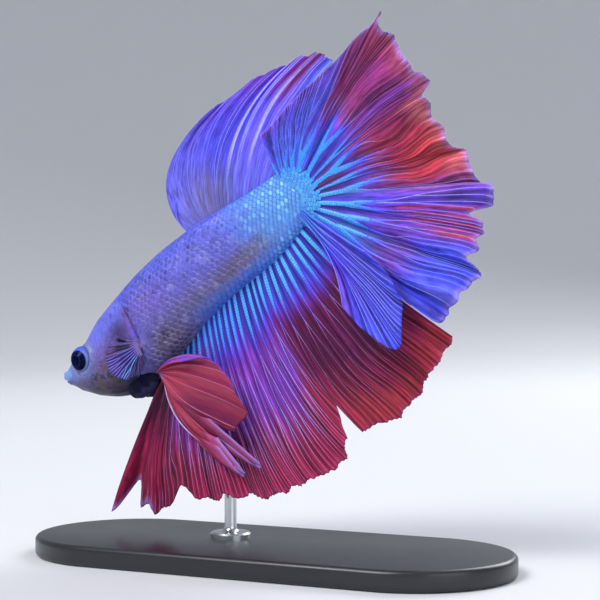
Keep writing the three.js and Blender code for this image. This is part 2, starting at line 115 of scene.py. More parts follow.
def cloud(points, size, seed=0):
    """Smooth noise from 0 to 1, with lumps of about the given size."""
    scaled = np.asarray(points, float) / size
    cell = np.floor(scaled)
    t = scaled - cell
    t = t * t * (3 - 2 * t)
    total = np.zeros(len(scaled))
    for corner in np.ndindex(2, 2, 2):
        corner = np.array(corner)
        weight = np.prod(np.where(corner, t, 1 - t), axis=1)
        total += weight * hashed(cell + corner, seed)
    return total


def paint(red, green, blue):
    seen = np.array([red, green, blue]) / 255
    return np.where(seen <= 0.04045, seen / 12.92, ((seen + 0.055) / 1.055) ** 2.4)


def filled(colour, like):
    """One colour for each of a row of points."""
    return np.repeat(colour[None], len(like), axis=0)


def wash(under, over, amount):
    """One colour laid over another. The amount is one number for each point."""
    return under + (over - under) * np.clip(amount, 0, 1)[:, None]


def coats(colour, *more):
    """Washes laid on one after another, each a colour and its amount."""
    for over, amount in more:
        colour = wash(colour, over, amount)
    return colour


print("a quarter of the way through an ease:", float(ease(0, 1, 0.25)))


# %% [markdown]
# The fish's colours are named once, as they are seen, and mixed from there. Flesh runs from
# periwinkle to tan and ink, and the fins from turquoise roots through violets to crimson edges.

# %% The fish's palette
PERIWINKLE = paint(112, 120, 238)
HAZE_BLUE = paint(98, 138, 246)
LAVENDER = paint(126, 120, 216)
ROSE_LAVENDER = paint(154, 116, 208)
TAN = paint(128, 110, 142)
BREAST = paint(118, 98, 122)
MAUVE_GREY = paint(112, 98, 148)
INK = paint(26, 26, 70)
SKY = paint(128, 186, 250)
TURQUOISE = paint(58, 150, 246)
CYAN = paint(110, 214, 255)
BLUE_VIOLET = paint(80, 84, 240)
VIOLET = paint(98, 66, 220)
PURPLE = paint(124, 66, 206)
LILAC = paint(172, 150, 246)
PALE_LILAC = paint(208, 204, 255)
MAUVE = paint(140, 70, 150)
MAGENTA = paint(136, 48, 136)
ROSE = paint(188, 82, 140)
CRIMSON = paint(156, 34, 76)
WINE = paint(92, 20, 64)
CORAL = paint(186, 58, 80)
ORANGE_RED = paint(208, 66, 70)
RUSSET = paint(96, 48, 84)
print("periwinkle as a shader sees it:", np.round(PERIWINKLE, 3))

# %% [markdown]
# Now the outline of the body. A table holds the height of the back, the depth of the belly and half
# the width at stations behind the snout. `along` runs a smooth curve through a column of a table
# that never swings past its neighbours, so a few rows are enough for a whole fish.

# %% The body's outline
FRONT = 0.3
BODY_LENGTH = 49.9
TAIL_ROUNDING = 0.4
FULLNESS = 0.88
STATIONS = np.array([
    # behind the snout, back, belly, half width
    [FRONT, 0.3, -0.95, 0.6],
    [0.8, 0.75, -2, 1.2],
    [2, 1.2, -3.7, 2],
    [4.2, 2, -5.85, 3.05],
    [7, 2.95, -7.6, 3.65],
    [10.5, 4.3, -8.7, 4.1],
    [15, 5.3, -8.9, 4.4],
    [20, 6.25, -7.9, 4.3],
    [26, 6.75, -6.4, 3.9],
    [32, 6.75, -5.7, 3.3],
    [38, 6.05, -5.5, 2.6],
    [43, 5.45, -4.8, 1.9],
    [47, 5.2, -3.6, 1.15],
    [48.8, 4.2, -2.4, 0.75],
    [BODY_LENGTH, 3, -1.2, 0.5],
])


def along(column, place):
    """A column of a table at a place among its rows, on a smooth curve."""
    values = np.asarray(column, float)
    last = len(values) - 1
    place = np.asarray(place, float)
    row = np.clip(np.floor(place).astype(int), 0, last - 1)
    t = place - row
    rise = np.diff(values)
    slope = np.concatenate([rise[:1], np.zeros(last - 1), rise[-1:]])
    before, after = rise[:-1], rise[1:]
    same = before * after > 0
    slope[1:-1][same] = (2 * before * after)[same] / (before + after)[same]
    return (
        values[row] * (1 + 2 * t) * (1 - t) ** 2
        + slope[row] * t * (1 - t) ** 2
        + values[row + 1] * t * t * (3 - 2 * t)
        + slope[row + 1] * t * t * (t - 1)
    )


def outline(at):
    place = np.interp(at, STATIONS[:, 0], np.arange(len(STATIONS)))
    return [along(STATIONS[:, column], place) for column in (1, 2, 3)]


print("back, belly and half width at 20 mm:", [round(float(v), 2) for v in outline(20.0)])

# %% [markdown]
# A point of the body is named by its distance behind the snout and its turn round the body: 0 on
# the back, a quarter on the left flank, a half under the belly. The ends close in a rounded tip.
# `fold` gives the same number on both flanks, so both sides of the fish are shaped alike.

# %% Points on the body


def body_point(at, turn, extra=0.0):
    back, belly, half = outline(at)
    middle = (back + belly) / 2
    angle = 2 * np.pi * turn
    s, c = np.sin(angle), np.cos(angle)
    nose = np.sqrt(np.clip(1 - ((FRONT - at) / FRONT) ** 2, 0, 1))
    tail = np.sqrt(np.clip(1 - ((at - BODY_LENGTH) / TAIL_ROUNDING) ** 2, 0, 1))
    closing = np.where(at < FRONT, nose, np.where(at > BODY_LENGTH, tail, 1.0))
    side = (half + extra) * np.sign(s) * np.abs(s) ** FULLNESS * closing
    return np.stack([at, -side, middle + ((back - belly) / 2 + extra) * c * closing], axis=1)


def fold(turn):
    turn = np.mod(turn, 1.0)
    return np.minimum(turn, 1 - turn)


def body_normal(at, turn):
    """Straight out from the body, from two small steps along it and round it."""
    step, turn_step = 0.01, 0.001
    at_in = np.clip(at, 2 * step, BODY_LENGTH + TAIL_ROUNDING - 2 * step)
    lengthways = body_point(at_in + step, turn) - body_point(at_in - step, turn)
    around = body_point(at_in, turn + turn_step) - body_point(at_in, turn - turn_step)
    normal = np.cross(around, lengthways)
    return normal / np.maximum(np.linalg.norm(normal, axis=1), 1e-12)[:, None]


print("on the left flank at 20 mm:", np.round(body_point(np.array([20.0]), 0.25)[0], 2))

# %% [markdown]
# The head has the forms that make a fish look alive: a ring of skin round each eye, lips that jut
# and close on a short mouth, a nostril, the cheek, and the gill cover with its free rear edge and
# the slit behind it. Each is a soft hill or groove added to the smooth body, in millimetres, so
# that all of them belong to one unbroken skin.

# %% The relief of the head
EYE_AT, EYE_SIDE, EYE_UP = 5.65, 2.52, -0.02
EYE_RADIUS, EYE_FLAT = 2.0, 0.84
COVER_FRONT, COVER_REAR, COVER_TOP, COVER_BOTTOM = 9.0, 16.6, 0.105, 0.4
MOUTH_FRONT = np.array([0.1, -0.5])
MOUTH_SLOPE = math.radians(-43)
PECTORAL_AT, PECTORAL_UP = 16.1, -4.4


def cover_edge(turn):
    """How far back the gill cover's free edge is at a turn."""
    v = np.clip((fold(turn) - COVER_TOP) / (COVER_BOTTOM - COVER_TOP), 0, 1)
    corner = 1 - np.sqrt(np.clip(1 - (2 * v - 1) ** 2, 0, 1))
    return COVER_REAR - 1.1 * corner - 3 * v**4


def cover_height(low):
    """1 on the height of the gill cover, and 0 above and below it."""
    return ease(0.08, 0.125, low) * (1 - ease(0.385, 0.42, low))


def from_eye(x, z):
    return np.hypot(x - EYE_AT, z - EYE_UP)


def from_nostril(x, low):
    return np.hypot(x - 2.9, (low - 0.1) * 22)


def mouth_place(x, z):
    """How far a point is above the mouth's line, and how far back along it."""
    dx, dz = x - MOUTH_FRONT[0], z - MOUTH_FRONT[1]
    c, s = math.cos(MOUTH_SLOPE), math.sin(MOUTH_SLOPE)
    return dz * c - dx * s, dx * c + dz * s


def relief(at, turn):
    x, _, z = body_point(at, turn).T
    low = fold(turn)
    flank = ease(0.06, 0.12, low)
    round_eye = from_eye(x, z)
    height = 0.34 * bump(round_eye - 2.12, 0.42) * flank
    height -= 1.2 * (1 - ease(1.2, 2.0, round_eye)) * flank
    height -= 0.3 * bump(x - 5.4, 2.0) * (1 - ease(0.04, 0.13, low))

    above, back = mouth_place(x, z)
    mouth = 1 - ease(0.9, 1.5, back)
    height += 0.3 * bump(above - 0.62, 0.5) * (1 - ease(1.0, 2.2, back))
    height += 0.28 * bump(above - 1.25, 0.42) * (1 - ease(1.1, 2.2, back))
    height += 0.22 * bump(above + 0.32, 0.24) * mouth
    height -= 0.4 * bump(above, 0.1) * (1 - ease(0.95, 1.3, back))
    height -= 0.1 * bump(above - 1.5, 0.2) * (1 - ease(1.4, 2.6, back))
    height -= 0.05 * bump(above + 0.8, 0.14) * (1 - ease(1.2, 2.0, back))

    nostril = from_nostril(x, low)
    height += 0.08 * bump(nostril - 0.24, 0.1) - 0.2 * bump(nostril, 0.14)

    height += 0.16 * bump(x - 8.6, 1.9) * bump(z + 3.2, 2.2)
    height += 0.35 * bump(x - 9.5, 3.4) * ease(0.36, 0.48, low)
    arc = np.hypot(x - 6.2, z + 0.3) - 4.6
    height -= 0.09 * bump(arc, 0.16) * ease(6.2, 7.2, x) * ease(0.13, 0.18, low)
    height -= 0.1 * bump(low - 0.455, 0.012) * ease(3, 5, x) * (1 - ease(12, 14, x))

    past = at - cover_edge(turn)
    lid = cover_height(low) * ease(COVER_FRONT, 12, at)
    plate = 0.15 * ease(-6, 0, past) * (1 - ease(-0.05, 0.12, past))
    slit = 0.32 * bump(past - 0.2, 0.15) + 0.1 * ease(0.1, 0.3, past) * (1 - ease(0.5, 1.6, past))
    height += lid * (plate - slit)
    height += 0.28 * bump(x - PECTORAL_AT, 0.8) * bump(z - PECTORAL_UP, 1.2) * flank
    return height


print("the gill cover reaches", round(float(cover_edge(np.array([0.25]))[0]), 2), "mm back")

# %% [markdown]
# The markings are painted from the same places. The back is periwinkle, the tail stalk turns sky
# blue, the shoulder is rosy, and a tan band runs low along the flank. `blotch` is a soft oval patch
# that can lean, and the blue cast is the light in which the fish is seen.

# %% The colours of the body
BLUE_CAST = np.array([0.62, 0.7, 0.96])


def blotch(x, z, middle, length, height, tilt=0.0):
    c, s = math.cos(tilt), math.sin(tilt)
    dx, dz = x - middle[0], z - middle[1]
    return np.exp(-(((dx * c + dz * s) / length) ** 2) - ((dz * c - dx * s) / height) ** 2)


def body_colour(points, low, mottled):
    x, _, z = points.T
    band = blotch(x, z, (35.5, -2.8), 9.5, 1.75, 0.13)
    azure = ease(38, 45, x + 3 * mottled) * ease(0.42, 0.34, low)
    colour = coats(
        filled(PERIWINKLE, x),
        (LAVENDER, ease(0.1, 0.24, low + 0.08 * mottled)),
        (HAZE_BLUE, ease(33, 43, x + 6 * mottled)),
        (SKY, 0.6 * blotch(x, z, (47.5, 1.8), 4.6, 3.6)),
        (HAZE_BLUE, 0.85 * ease(0.34, 0.42, low) * ease(24, 30, x)),
        (ROSE_LAVENDER, 0.8 * blotch(x, z, (20, 0.2), 4.4, 3.0, -0.1)),
        (TAN, 1.1 * band + 0.25 * mottled * band),
        (TAN, 0.7 * blotch(x, z, (26, -3.6), 5, 2.4)),
        (BREAST, 1.15 * blotch(x, z, (19.8, -6.2), 4.2, 3.2, 0.2)),
        (BREAST, 0.8 * ease(0.36, 0.44, low) * (1 - ease(22, 26, x))),
    )
    return wash(colour * BLUE_CAST, paint(78, 156, 250), 0.7 * azure)


print("the body's blue cast:", BLUE_CAST)

# %% [markdown]
# The head goes from a bright forehead to a mauve-grey cheek with brown and dark blots, a throat painted
# dark as shade, and pale blue lips. A dark patch over the gill membrane is painted shade, and the head
# is painted darker towards its underside as shade, as a round form is in light from above.

# %% The colours of the face
UNDERSIDE_SHADE = np.array([0.36, 0.42, 0.34])


def face_colour(points, low, mottled, grain):
    x, _, z = points.T
    blots = cloud(points, 0.9, 3) - 0.5
    veins = bump(cloud(points * np.array([1, 1, 1.4]), 0.6, 4) - 0.5, 0.07)
    cheek = np.clip(1.25 * blotch(x, z, (8.2, -4.6), 4.4, 2.7), 0, 1)
    rear_eye = blotch(x, z, (9.0, -1.4), 1.9, 2.6)
    under = ease(0.33, 0.42, low + 0.08 * mottled)
    below = ease(0.26, 0.4, low + 0.06 * mottled + 0.04 * blots) * ease(2.2, 4.5, x)
    upper_lip = (1 - ease(1.7, 2.9, x)) * ease(-1.5, -0.8, z)
    lower_lip = (1 - ease(0.9, 2.0, x)) * (1 - ease(-1.5, -0.8, z))
    face = coats(
        wash(filled(paint(112, 130, 232), x), PERIWINKLE, ease(5, 10, x)),
        (LAVENDER * 0.9, ease(0.17, 0.27, low + 0.09 * mottled) * ease(6, 9, x)),
        (MAUVE_GREY * 0.9, ease(0.27, 0.35, low + 0.09 * mottled + 0.05 * blots)),
        (paint(96, 84, 98), 0.9 * cheek * np.clip(0.9 + 1.6 * mottled, 0, 1)),
        (paint(100, 84, 96), 0.8 * cheek * ease(0.02, 0.12, blots + 0.8 * grain)),
        (paint(50, 38, 70), 0.9 * cheek * ease(0.0, 0.1, -blots - 0.7 * grain)),
        (paint(140, 98, 176), np.clip(0.9 * rear_eye * (0.2 + 0.9 * veins), 0, 1)),
        (paint(72, 46, 110), 0.95 * blotch(x, z, (14.0, -0.8), 2.6, 2.0, 0.2)),
        (paint(78, 46, 78), 0.6 * blotch(x, z, (12.2, -2.6), 0.9, 0.7)),
        # Painted shade: the throat's dark tones and the dark patch over the gill membrane.
        (paint(58, 44, 84), 0.85 * under * ease(5.5, 9, x)),
        (paint(26, 20, 56), 0.9 * ease(0.415, 0.45, low + 0.04 * mottled) * ease(4.5, 7, x)),
        (paint(22, 24, 64), 1.1 * blotch(x, z, (11.9, -7.4), 2.6, 1.7)),
        (paint(84, 88, 136), 0.7 * blotch(x, z, (2.8, -3.2), 2.6, 1.3, -0.75)),
        (paint(132, 140, 204), 0.85 * bump(from_eye(x, z) - 2.3, 0.62)),
    )
    return coats(
        # Painted shade: the head is darkened towards its underside.
        face * (1 - below[:, None] * UNDERSIDE_SHADE),
        (paint(150, 150, 160), 0.7 * blotch(x, z, (3.75, -1.1), 0.6, 0.45, -0.6)),
        (INK * 0.8, 0.9 * bump(np.hypot(x - 4.3, z + 1.62), 0.2)),
        (paint(126, 168, 232), 0.92 * upper_lip),
        (paint(86, 104, 156), 0.9 * lower_lip),
    )


print("the underside's shade:", UNDERSIDE_SHADE)

# %% [markdown]
# `flesh_colour` puts the body and the face together at the gill cover's edge, with its violet rim and
# the slit behind it painted dark as shade. It adds the mouth line and the nostrils, painted dark as the
# shade in the mouth's crease and the nostril pits, and dark freckles and pale flecks. The skin and the
# scales call the same function, so they carry the same markings.

# %% The markings of the flesh


def flesh_colour(at, turn):
    points = body_point(at, turn)
    x, _, z = points.T
    low, past = fold(turn), at - cover_edge(turn)
    mottled = cloud(points, 1.6, 1) - 0.5
    grain = cloud(points, 0.35, 2) - 0.5
    edge = ease(0.13, 0.18, low) * (1 - ease(0.36, 0.4, low))
    rim = wash(filled(paint(134, 84, 168), x), paint(116, 78, 238), bump(z + 2.2, 1.4))
    above, back = mouth_place(x, z)
    freckle = ease(0.6, 0.72, cloud(points * np.array([1.5, 1, 0.8]), 0.5, 7))
    freckled = ease(10, 14, x) * ease(0.02, 0.08, low) * (1 - ease(40, 44, x))
    freckled *= 0.3 + 0.7 * np.maximum(blotch(x, z, (24, 3.2), 12, 3), blotch(x, z, (19, -6), 5, 3))
    fleck = ease(0.78, 0.84, cloud(points, 0.4, 9)) * ease(16, 20, x) * (1 - ease(36, 42, x))
    colour = coats(
        body_colour(points, low, mottled),
        (face_colour(points, low, mottled, grain), 1 - ease(-0.3, 0.1, past)),
        (rim, 0.7 * bump(past + 0.25, 0.35) * edge),
        # Painted shade: the slit behind the gill cover's edge is painted dark.
        (INK * 0.7, 0.9 * bump(past - 0.14, 0.14) * edge),
        (paint(140, 118, 186), 0.85 * blotch(x, z, (16.0, -4.3), 0.8, 0.9)),
        # Painted shade: the mouth's crease and the nostril pits are painted dark.
        (INK * 0.6, 0.95 * bump(above, 0.1) * (1 - ease(1.0, 1.35, back))),
        (INK, 0.8 * bump(from_nostril(x, low), 0.15)),
        (INK, 0.6 * freckle * freckled),
        (PALE_LILAC, 0.3 * fleck),
    )
    return colour * (0.8 + 0.2 * mottled + 0.16 * grain)[:, None]


mid_flank = flesh_colour(np.array([25.0]), np.array([0.25]))
print("the middle of the flank:", np.round(mid_flank[0], 3))

# %% [markdown]
# Every organic piece starts as a grid primitive or as joined small shapes. These helpers add the
# grid, read how far across and along each of its points is, and move the points to their places on
# the fish.

# %% Helpers for pieces


def deselect():
    if bpy.context.object and bpy.context.object.mode != "OBJECT":
        bpy.ops.object.mode_set(mode="OBJECT")
    bpy.ops.object.select_all(action="DESELECT")


def activate(piece):
    deselect()
    piece.select_set(True)
    bpy.context.view_layer.objects.active = piece


def read_points(piece):
    points = np.empty(3 * len(piece.data.vertices))
    piece.data.vertices.foreach_get("co", points)
    return points.reshape(-1, 3)


def place_points(piece, points):
    piece.data.vertices.foreach_set("co", to_part(points).astype(np.float32).ravel())
    piece.data.update()


def new_grid(name, across, down):
    """A grid primitive, with how far across and along each point is, from 0 to 1."""
    deselect()
    bpy.ops.mesh.primitive_grid_add(x_subdivisions=across, y_subdivisions=down, size=1)
    piece = bpy.context.object
    piece.name = piece.data.name = name
    flat = read_points(piece)
    return piece, flat[:, 0] + 0.5, flat[:, 1] + 0.5


print("pieces are made in", bpy.context.scene.collection.name)

# %% [markdown]
# The next helpers store a colour on each point in an attribute called Tint, which the materials read,
# give a piece a UV map, apply its modifiers and turn its faces outwards. `ready` sets the piece on the
# part's body and hides the solids that it stands for.

# %% Helpers that finish a piece


def tint(piece, colours):
    layer = piece.data.color_attributes.new(name="Tint", type="FLOAT_COLOR", domain="POINT")
    opaque = np.ones((len(colours), 4), np.float32)
    opaque[:, :3] = np.clip(colours, 0, 1)
    layer.data.foreach_set("color", opaque.ravel())


def lay_uv(piece, name, places):
    """A UV map from one place for each point."""
    mesh = piece.data
    layer = mesh.uv_layers.get(name) or mesh.uv_layers.new(name=name)
    corners = np.empty(len(mesh.loops), np.int64)
    mesh.loops.foreach_get("vertex_index", corners)
    layer.data.foreach_set("uv", places[corners].astype(np.float32).ravel())
    mesh.uv_layers.active = layer


def from_points(name, points, faces):
    """A piece from joined small shapes: points on the straight fish and their faces."""
    mesh = bpy.data.meshes.new(name)
    mesh.from_pydata(to_part(points).tolist(), [], faces)
    piece = bpy.data.objects.new(name, mesh)
    bpy.context.scene.collection.objects.link(piece)
    return piece


def apply(piece, kind, **settings):
    """Adds a modifier and applies it."""
    activate(piece)
    modifier = piece.modifiers.new(kind.title(), kind)
    for key, value in settings.items():
        setattr(modifier, key, value)
    bpy.ops.object.modifier_apply(modifier=modifier.name)


def face_outwards(piece, merge=False):
    """Turns every face outwards, after merging the points that meet if that is asked."""
    activate(piece)
    bpy.ops.object.mode_set(mode="EDIT")
    bpy.ops.mesh.select_all(action="SELECT")
    if merge:
        bpy.ops.mesh.remove_doubles(threshold=1e-7)
    bpy.ops.mesh.normals_make_consistent(inside=False)
    bpy.ops.object.mode_set(mode="OBJECT")


def smooth(piece, *finish):
    """Soft shading, and the piece's material if it is given."""
    activate(piece)
    bpy.ops.object.shade_smooth()
    for material in finish:
        piece.data.materials.append(material)
    return piece


def ready(piece, slot, *nodes):
    """The piece rides on the part and stands for its nodes. The slot is not used."""
    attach(piece, "root")
    if nodes:
        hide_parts(*nodes)
    faces = sum(len(face.vertices) - 2 for face in piece.data.polygons)
    print(f"{piece.name}: {faces} triangles")


# %% [markdown]
# Materials are built from shader nodes. By hand each node is added and its sockets are joined with
# wires. These helpers do the same in a line: one adds a node and wires its inputs, one is a Math
# node, one multiplies a colour by a number, and one starts an empty group with its sockets.

# %% Helpers for shader nodes


def add_node(tree, kind, **inputs):
    """A shader node. Each input is a value, or another node's output to link to it."""
    node = tree.nodes.new("ShaderNode" + kind)
    for name, value in inputs.items():
        if isinstance(value, bpy.types.NodeSocket):
            tree.links.new(value, node.inputs[name])
        else:
            node.inputs[name].default_value = value
    return node


def maths(tree, operation, *values):
    """The result of a Math node whose inputs are numbers or other nodes' outputs."""
    node = tree.nodes.new("ShaderNodeMath")
    node.operation = operation
    for socket, value in zip(node.inputs, values):
        if isinstance(value, bpy.types.NodeSocket):
            tree.links.new(value, socket)
        else:
            socket.default_value = value
    return node.outputs[0]


def toned(tree, colour, factor):
    """A colour times a factor."""
    node = tree.nodes.new("ShaderNodeVectorMath")
    node.operation = "SCALE"
    tree.links.new(colour, node.inputs[0])
    tree.links.new(factor, node.inputs["Scale"])
    return node.outputs[0]


def new_group(name, takes, gives):
    """An empty node group, with its input and output nodes. Sockets are pairs of name and kind."""
    group = bpy.data.node_groups.new(name, "ShaderNodeTree")
    for way, sockets in (("INPUT", takes), ("OUTPUT", gives)):
        for socket, kind in sockets:
            group.interface.new_socket(socket, in_out=way, socket_type="NodeSocket" + kind)
    return group, group.nodes.new("NodeGroupInput").outputs, group.nodes.new("NodeGroupOutput").inputs


print("a Math node multiplies or adds numbers, and a Vector Math node scales colours")

# %% [markdown]
# Skin, scales and fins all have small uneven patches of tone, so that effect is one shader node
# group, `mottle`, used in each material with its own scale and strength. It takes a place and a
# colour, and gives the broken colour and a height for a bump. Constants such as gloss are set
# straight on each Principled shader.

# %% The shared mottle group


def make_mottle():
    takes = (("Place", "Vector"), ("Colour", "Color"), ("Scale", "Float"), ("Strength", "Float"))
    group, given, result = new_group("mottle", takes, (("Colour", "Color"), ("Height", "Float")))
    noise = add_node(
        group, "TexNoise", Vector=given["Place"], Scale=given["Scale"], Detail=3, Roughness=0.6
    ).outputs["Fac"]
    centred = maths(group, "SUBTRACT", noise, 0.5)
    factor = maths(group, "MULTIPLY_ADD", centred, given["Strength"], 1.0)
    group.links.new(toned(group, given["Colour"], factor), result["Colour"])
    group.links.new(noise, result["Height"])
    return group


mottle = make_mottle()
print("group sockets:", [item.name for item in mottle.interface.items_tree])

# %% [markdown]
# A ray is a row of tiny bony joints, which show as fine light and dark bands across it. The group
# `joint_bands` makes them from a UV map of the rods: across it is how strong the bands are, and along
# it is the distance along the ray.

# %% The joint bands group
JOINT_LENGTH, JOINT_CONTRAST = 0.42, 0.2


def make_joint_bands():
    group, given, result = new_group("joint_bands", (("Place", "Vector"),), (("Mask", "Float"),))
    split = add_node(group, "SeparateXYZ", Vector=given["Place"]).outputs
    wave = maths(group, "SINE", maths(group, "MULTIPLY", split["Y"], 2 * math.pi / JOINT_LENGTH))
    faded = maths(group, "MULTIPLY", wave, split["X"])
    group.links.new(maths(group, "MULTIPLY_ADD", faded, JOINT_CONTRAST, 1.0), result["Mask"])
    return group


joint_bands = make_joint_bands()
print("joint bands every", JOINT_LENGTH, "mm")

# %% [markdown]
# `finish_material` makes one material from the parts they share: the Tint attribute, the mottle and
# a bump. Its pattern reads Object coordinates on flesh, and the fin's own UV map on a fin, so that
# the streaks run along the rays wherever the fin bends.

# %% One maker for the fish's materials


def new_material(name, **shader):
    """A material, its node tree, and its Principled shader with plain values set."""
    material = bpy.data.materials.new(name)
    material.use_nodes = True
    principled = material.node_tree.nodes["Principled BSDF"]
    for key, value in shader.items():
        principled.inputs[key].default_value = value
    return material, material.node_tree, principled


def uv_map(tree, name):
    node = add_node(tree, "UVMap")
    node.uv_map = name
    return node.outputs["UV"]


def place_group(tree, group):
    node = add_node(tree, "Group")
    node.node_tree = group
    return node


def finish_material(name, scale, strength, depth, shader, uv=None, stretch=(1, 1, 1), bands=None):
    material, tree, principled = new_material(name, **shader)
    colour = add_node(tree, "Attribute")
    colour.attribute_name = "Tint"
    source = uv_map(tree, uv) if uv else add_node(tree, "TexCoord").outputs["Object"]
    mapping = add_node(tree, "Mapping", Vector=source, Scale=stretch)
    broken = place_group(tree, mottle)
    broken.inputs["Scale"].default_value = scale
    broken.inputs["Strength"].default_value = strength
    tree.links.new(mapping.outputs["Vector"], broken.inputs["Place"])
    tree.links.new(colour.outputs["Color"], broken.inputs["Colour"])
    shown = broken.outputs["Colour"]
    if bands:
        ringed = place_group(tree, joint_bands)
        tree.links.new(uv_map(tree, bands), ringed.inputs["Place"])
        shown = toned(tree, shown, ringed.outputs["Mask"])
    tree.links.new(shown, principled.inputs["Base Color"])
    raised = add_node(tree, "Bump", Height=broken.outputs["Height"], Strength=0.6, Distance=depth * MM)
    tree.links.new(raised.outputs["Normal"], principled.inputs["Normal"])
    return material


skin_finish = finish_material(
    "wet_skin", 2900, 1.1, 0.045,
    {"Roughness": 0.48, "Specular IOR Level": 0.34, "Coat Weight": 0.1, "Coat Roughness": 0.25},
)
scale_finish = finish_material(
    "pearly_scales", 2600, 0.75, 0.02,
    {"Roughness": 0.46, "Metallic": 0.1, "Specular IOR Level": 0.3, "Coat Weight": 0.08},
)
web_finish = finish_material(
    "fin_web", 1, 2.6, 0.06,
    {"Roughness": 0.5, "Specular IOR Level": 0.16},
    uv="web", stretch=(11, 1.0, 1),
)
soft_web_finish = finish_material(
    "soft_fin_web", 1, 1.0, 0.03,
    {"Roughness": 0.5, "Specular IOR Level": 0.16},
    uv="web", stretch=(9, 0.6, 1),
)
ray_finish = finish_material(
    "fin_rays", 5200, 1.7, 0.04,
    {"Roughness": 0.42, "Specular IOR Level": 0.4, "Coat Weight": 0.08, "Coat Roughness": 0.25},
    bands="joints",
)
fish_finishes = (skin_finish, scale_finish, web_finish, soft_web_finish, ray_finish)
print("materials so far:", [finish.name for finish in fish_finishes])

# %% [markdown]
# The skin is one closed tube from the lips to the tail stalk, and it stands for all the solids of
# flesh, so no seam shows. A grid primitive is wrapped round the body: its width is the turn, its
# length runs over rings that crowd together at the mouth, the eyes and the gill cover, where the
# forms are small. It lies inside the solids by the depth of the scales. Its long edges and its two
# ends are then merged.

# %% The skin
SCALE_DEPTH = 0.14
UNWRAP_MARGIN = 0.02


def unwrap(at, turn):
    """A point of the body on a flat sheet: its length across, its turn up."""
    inner = 1 - 2 * UNWRAP_MARGIN
    across = at / (BODY_LENGTH + TAIL_ROUNDING)
    return np.stack([UNWRAP_MARGIN + inner * across, UNWRAP_MARGIN + inner * turn], axis=1)


def ring_places():
    nose = FRONT * (1 - np.cos(np.linspace(0, np.pi / 2, 9)))
    parts = [
        nose,
        np.arange(0.36, 2.6, 0.06),
        np.arange(2.6, 8.8, 0.11),
        np.arange(8.8, 13, 0.17),
        np.arange(13, 17.4, 0.09),
        np.arange(17.4, BODY_LENGTH, 0.4),
        BODY_LENGTH + TAIL_ROUNDING * np.sin(np.linspace(0, np.pi / 2, 5)),
    ]
    return np.concatenate(parts)


def build_skin():
    rings = ring_places()
    skin, turn, down = new_grid("skin", 120, len(rings) - 1)
    at = np.interp(down, np.linspace(0, 1, len(rings)), rings)
    points = body_point(at, turn, -SCALE_DEPTH)
    points += body_normal(at, turn) * relief(at, turn)[:, None]
    place_points(skin, points)
    tint(skin, flesh_colour(at, turn))
    skin.data.uv_layers[0].name = "wrap"
    lay_uv(skin, "wrap", unwrap(at, turn))
    face_outwards(skin, merge=True)
    return smooth(skin, skin_finish)


skin = build_skin()
ready(skin, "skin", "head", "lower_jaw", "trunk", "tail_stalk", "gill_cover_left", "gill_cover_right")

# %% [markdown]
# Scales lie like roof tiles, free edges towards the tail, in rows that run along the body with
# every second row moved back by half a scale. To keep them even, rows are spaced by the true
# distance round the body from the middle of the flank, so a row ends where the fins' roots begin.
# `Girth` is a table of those distances that can be read backwards, from distance to turn.

# %% Distances round the body


class Girth:
    """Distances round the body from the middle of the flank, with a row for each station."""

    def __init__(self, stations=130, turns=133):
        self.at = np.linspace(FRONT, BODY_LENGTH, stations)
        self.turn = np.linspace(-0.08, 0.58, turns)
        grid_at, grid_turn = np.meshgrid(self.at, self.turn, indexing="ij")
        points = body_point(grid_at.ravel(), grid_turn.ravel()).reshape(stations, turns, 3)
        steps = np.linalg.norm(np.diff(points, axis=1), axis=2)
        arcs = np.concatenate([np.zeros((stations, 1)), np.cumsum(steps, axis=1)], axis=1)
        middle = int(np.argmin(np.abs(self.turn - 0.25)))
        self.arcs = arcs - arcs[:, middle : middle + 1]

    def row(self, at):
        last = len(self.at) - 1
        place = np.clip(np.interp(at, self.at, np.arange(last + 1)), 0, last - 0.001)
        low = np.floor(place).astype(int)
        t = (place - low)[:, None]
        return self.arcs[low] * (1 - t) + self.arcs[low + 1] * t

    def turn_at(self, at, arc):
        rows = self.row(at)
        index = np.clip((rows < arc[:, None]).sum(axis=1) - 1, 0, len(self.turn) - 2)
        pick = np.arange(len(arc))
        low, high = rows[pick, index], rows[pick, index + 1]
        t = (arc - low) / (high - low)
        return self.turn[index] * (1 - t) + self.turn[index + 1] * t

    def limits(self, at):
        rows = self.row(np.array([at]))[0]
        return np.interp([0.0, 0.5], self.turn, rows)


girth = Girth()
print("half the girth at 20 mm:", np.round(np.subtract(*girth.limits(20.0)[::-1]), 1), "mm")

# %% [markdown]
# Where each scale goes: the columns step back along the body by half a scale's pitch, and in every
# column only every second row has a scale. The head is bare. The first scales behind it come out
# from under the gill cover's free edge, and none grow round the root of the pectoral fin.

# %% Where the scales sit
BARE_ROOT = 1.45
FIRST_COLUMN, LAST_COLUMN = 13.4, 49.5
PITCH_STATIONS = [12, 18, 30, 48]


def row_pitch(at):
    return np.interp(at, PITCH_STATIONS, [0.7, 0.8, 0.84, 0.6])


def column_pitch(at):
    return np.interp(at, PITCH_STATIONS, [0.76, 0.86, 0.92, 0.66])


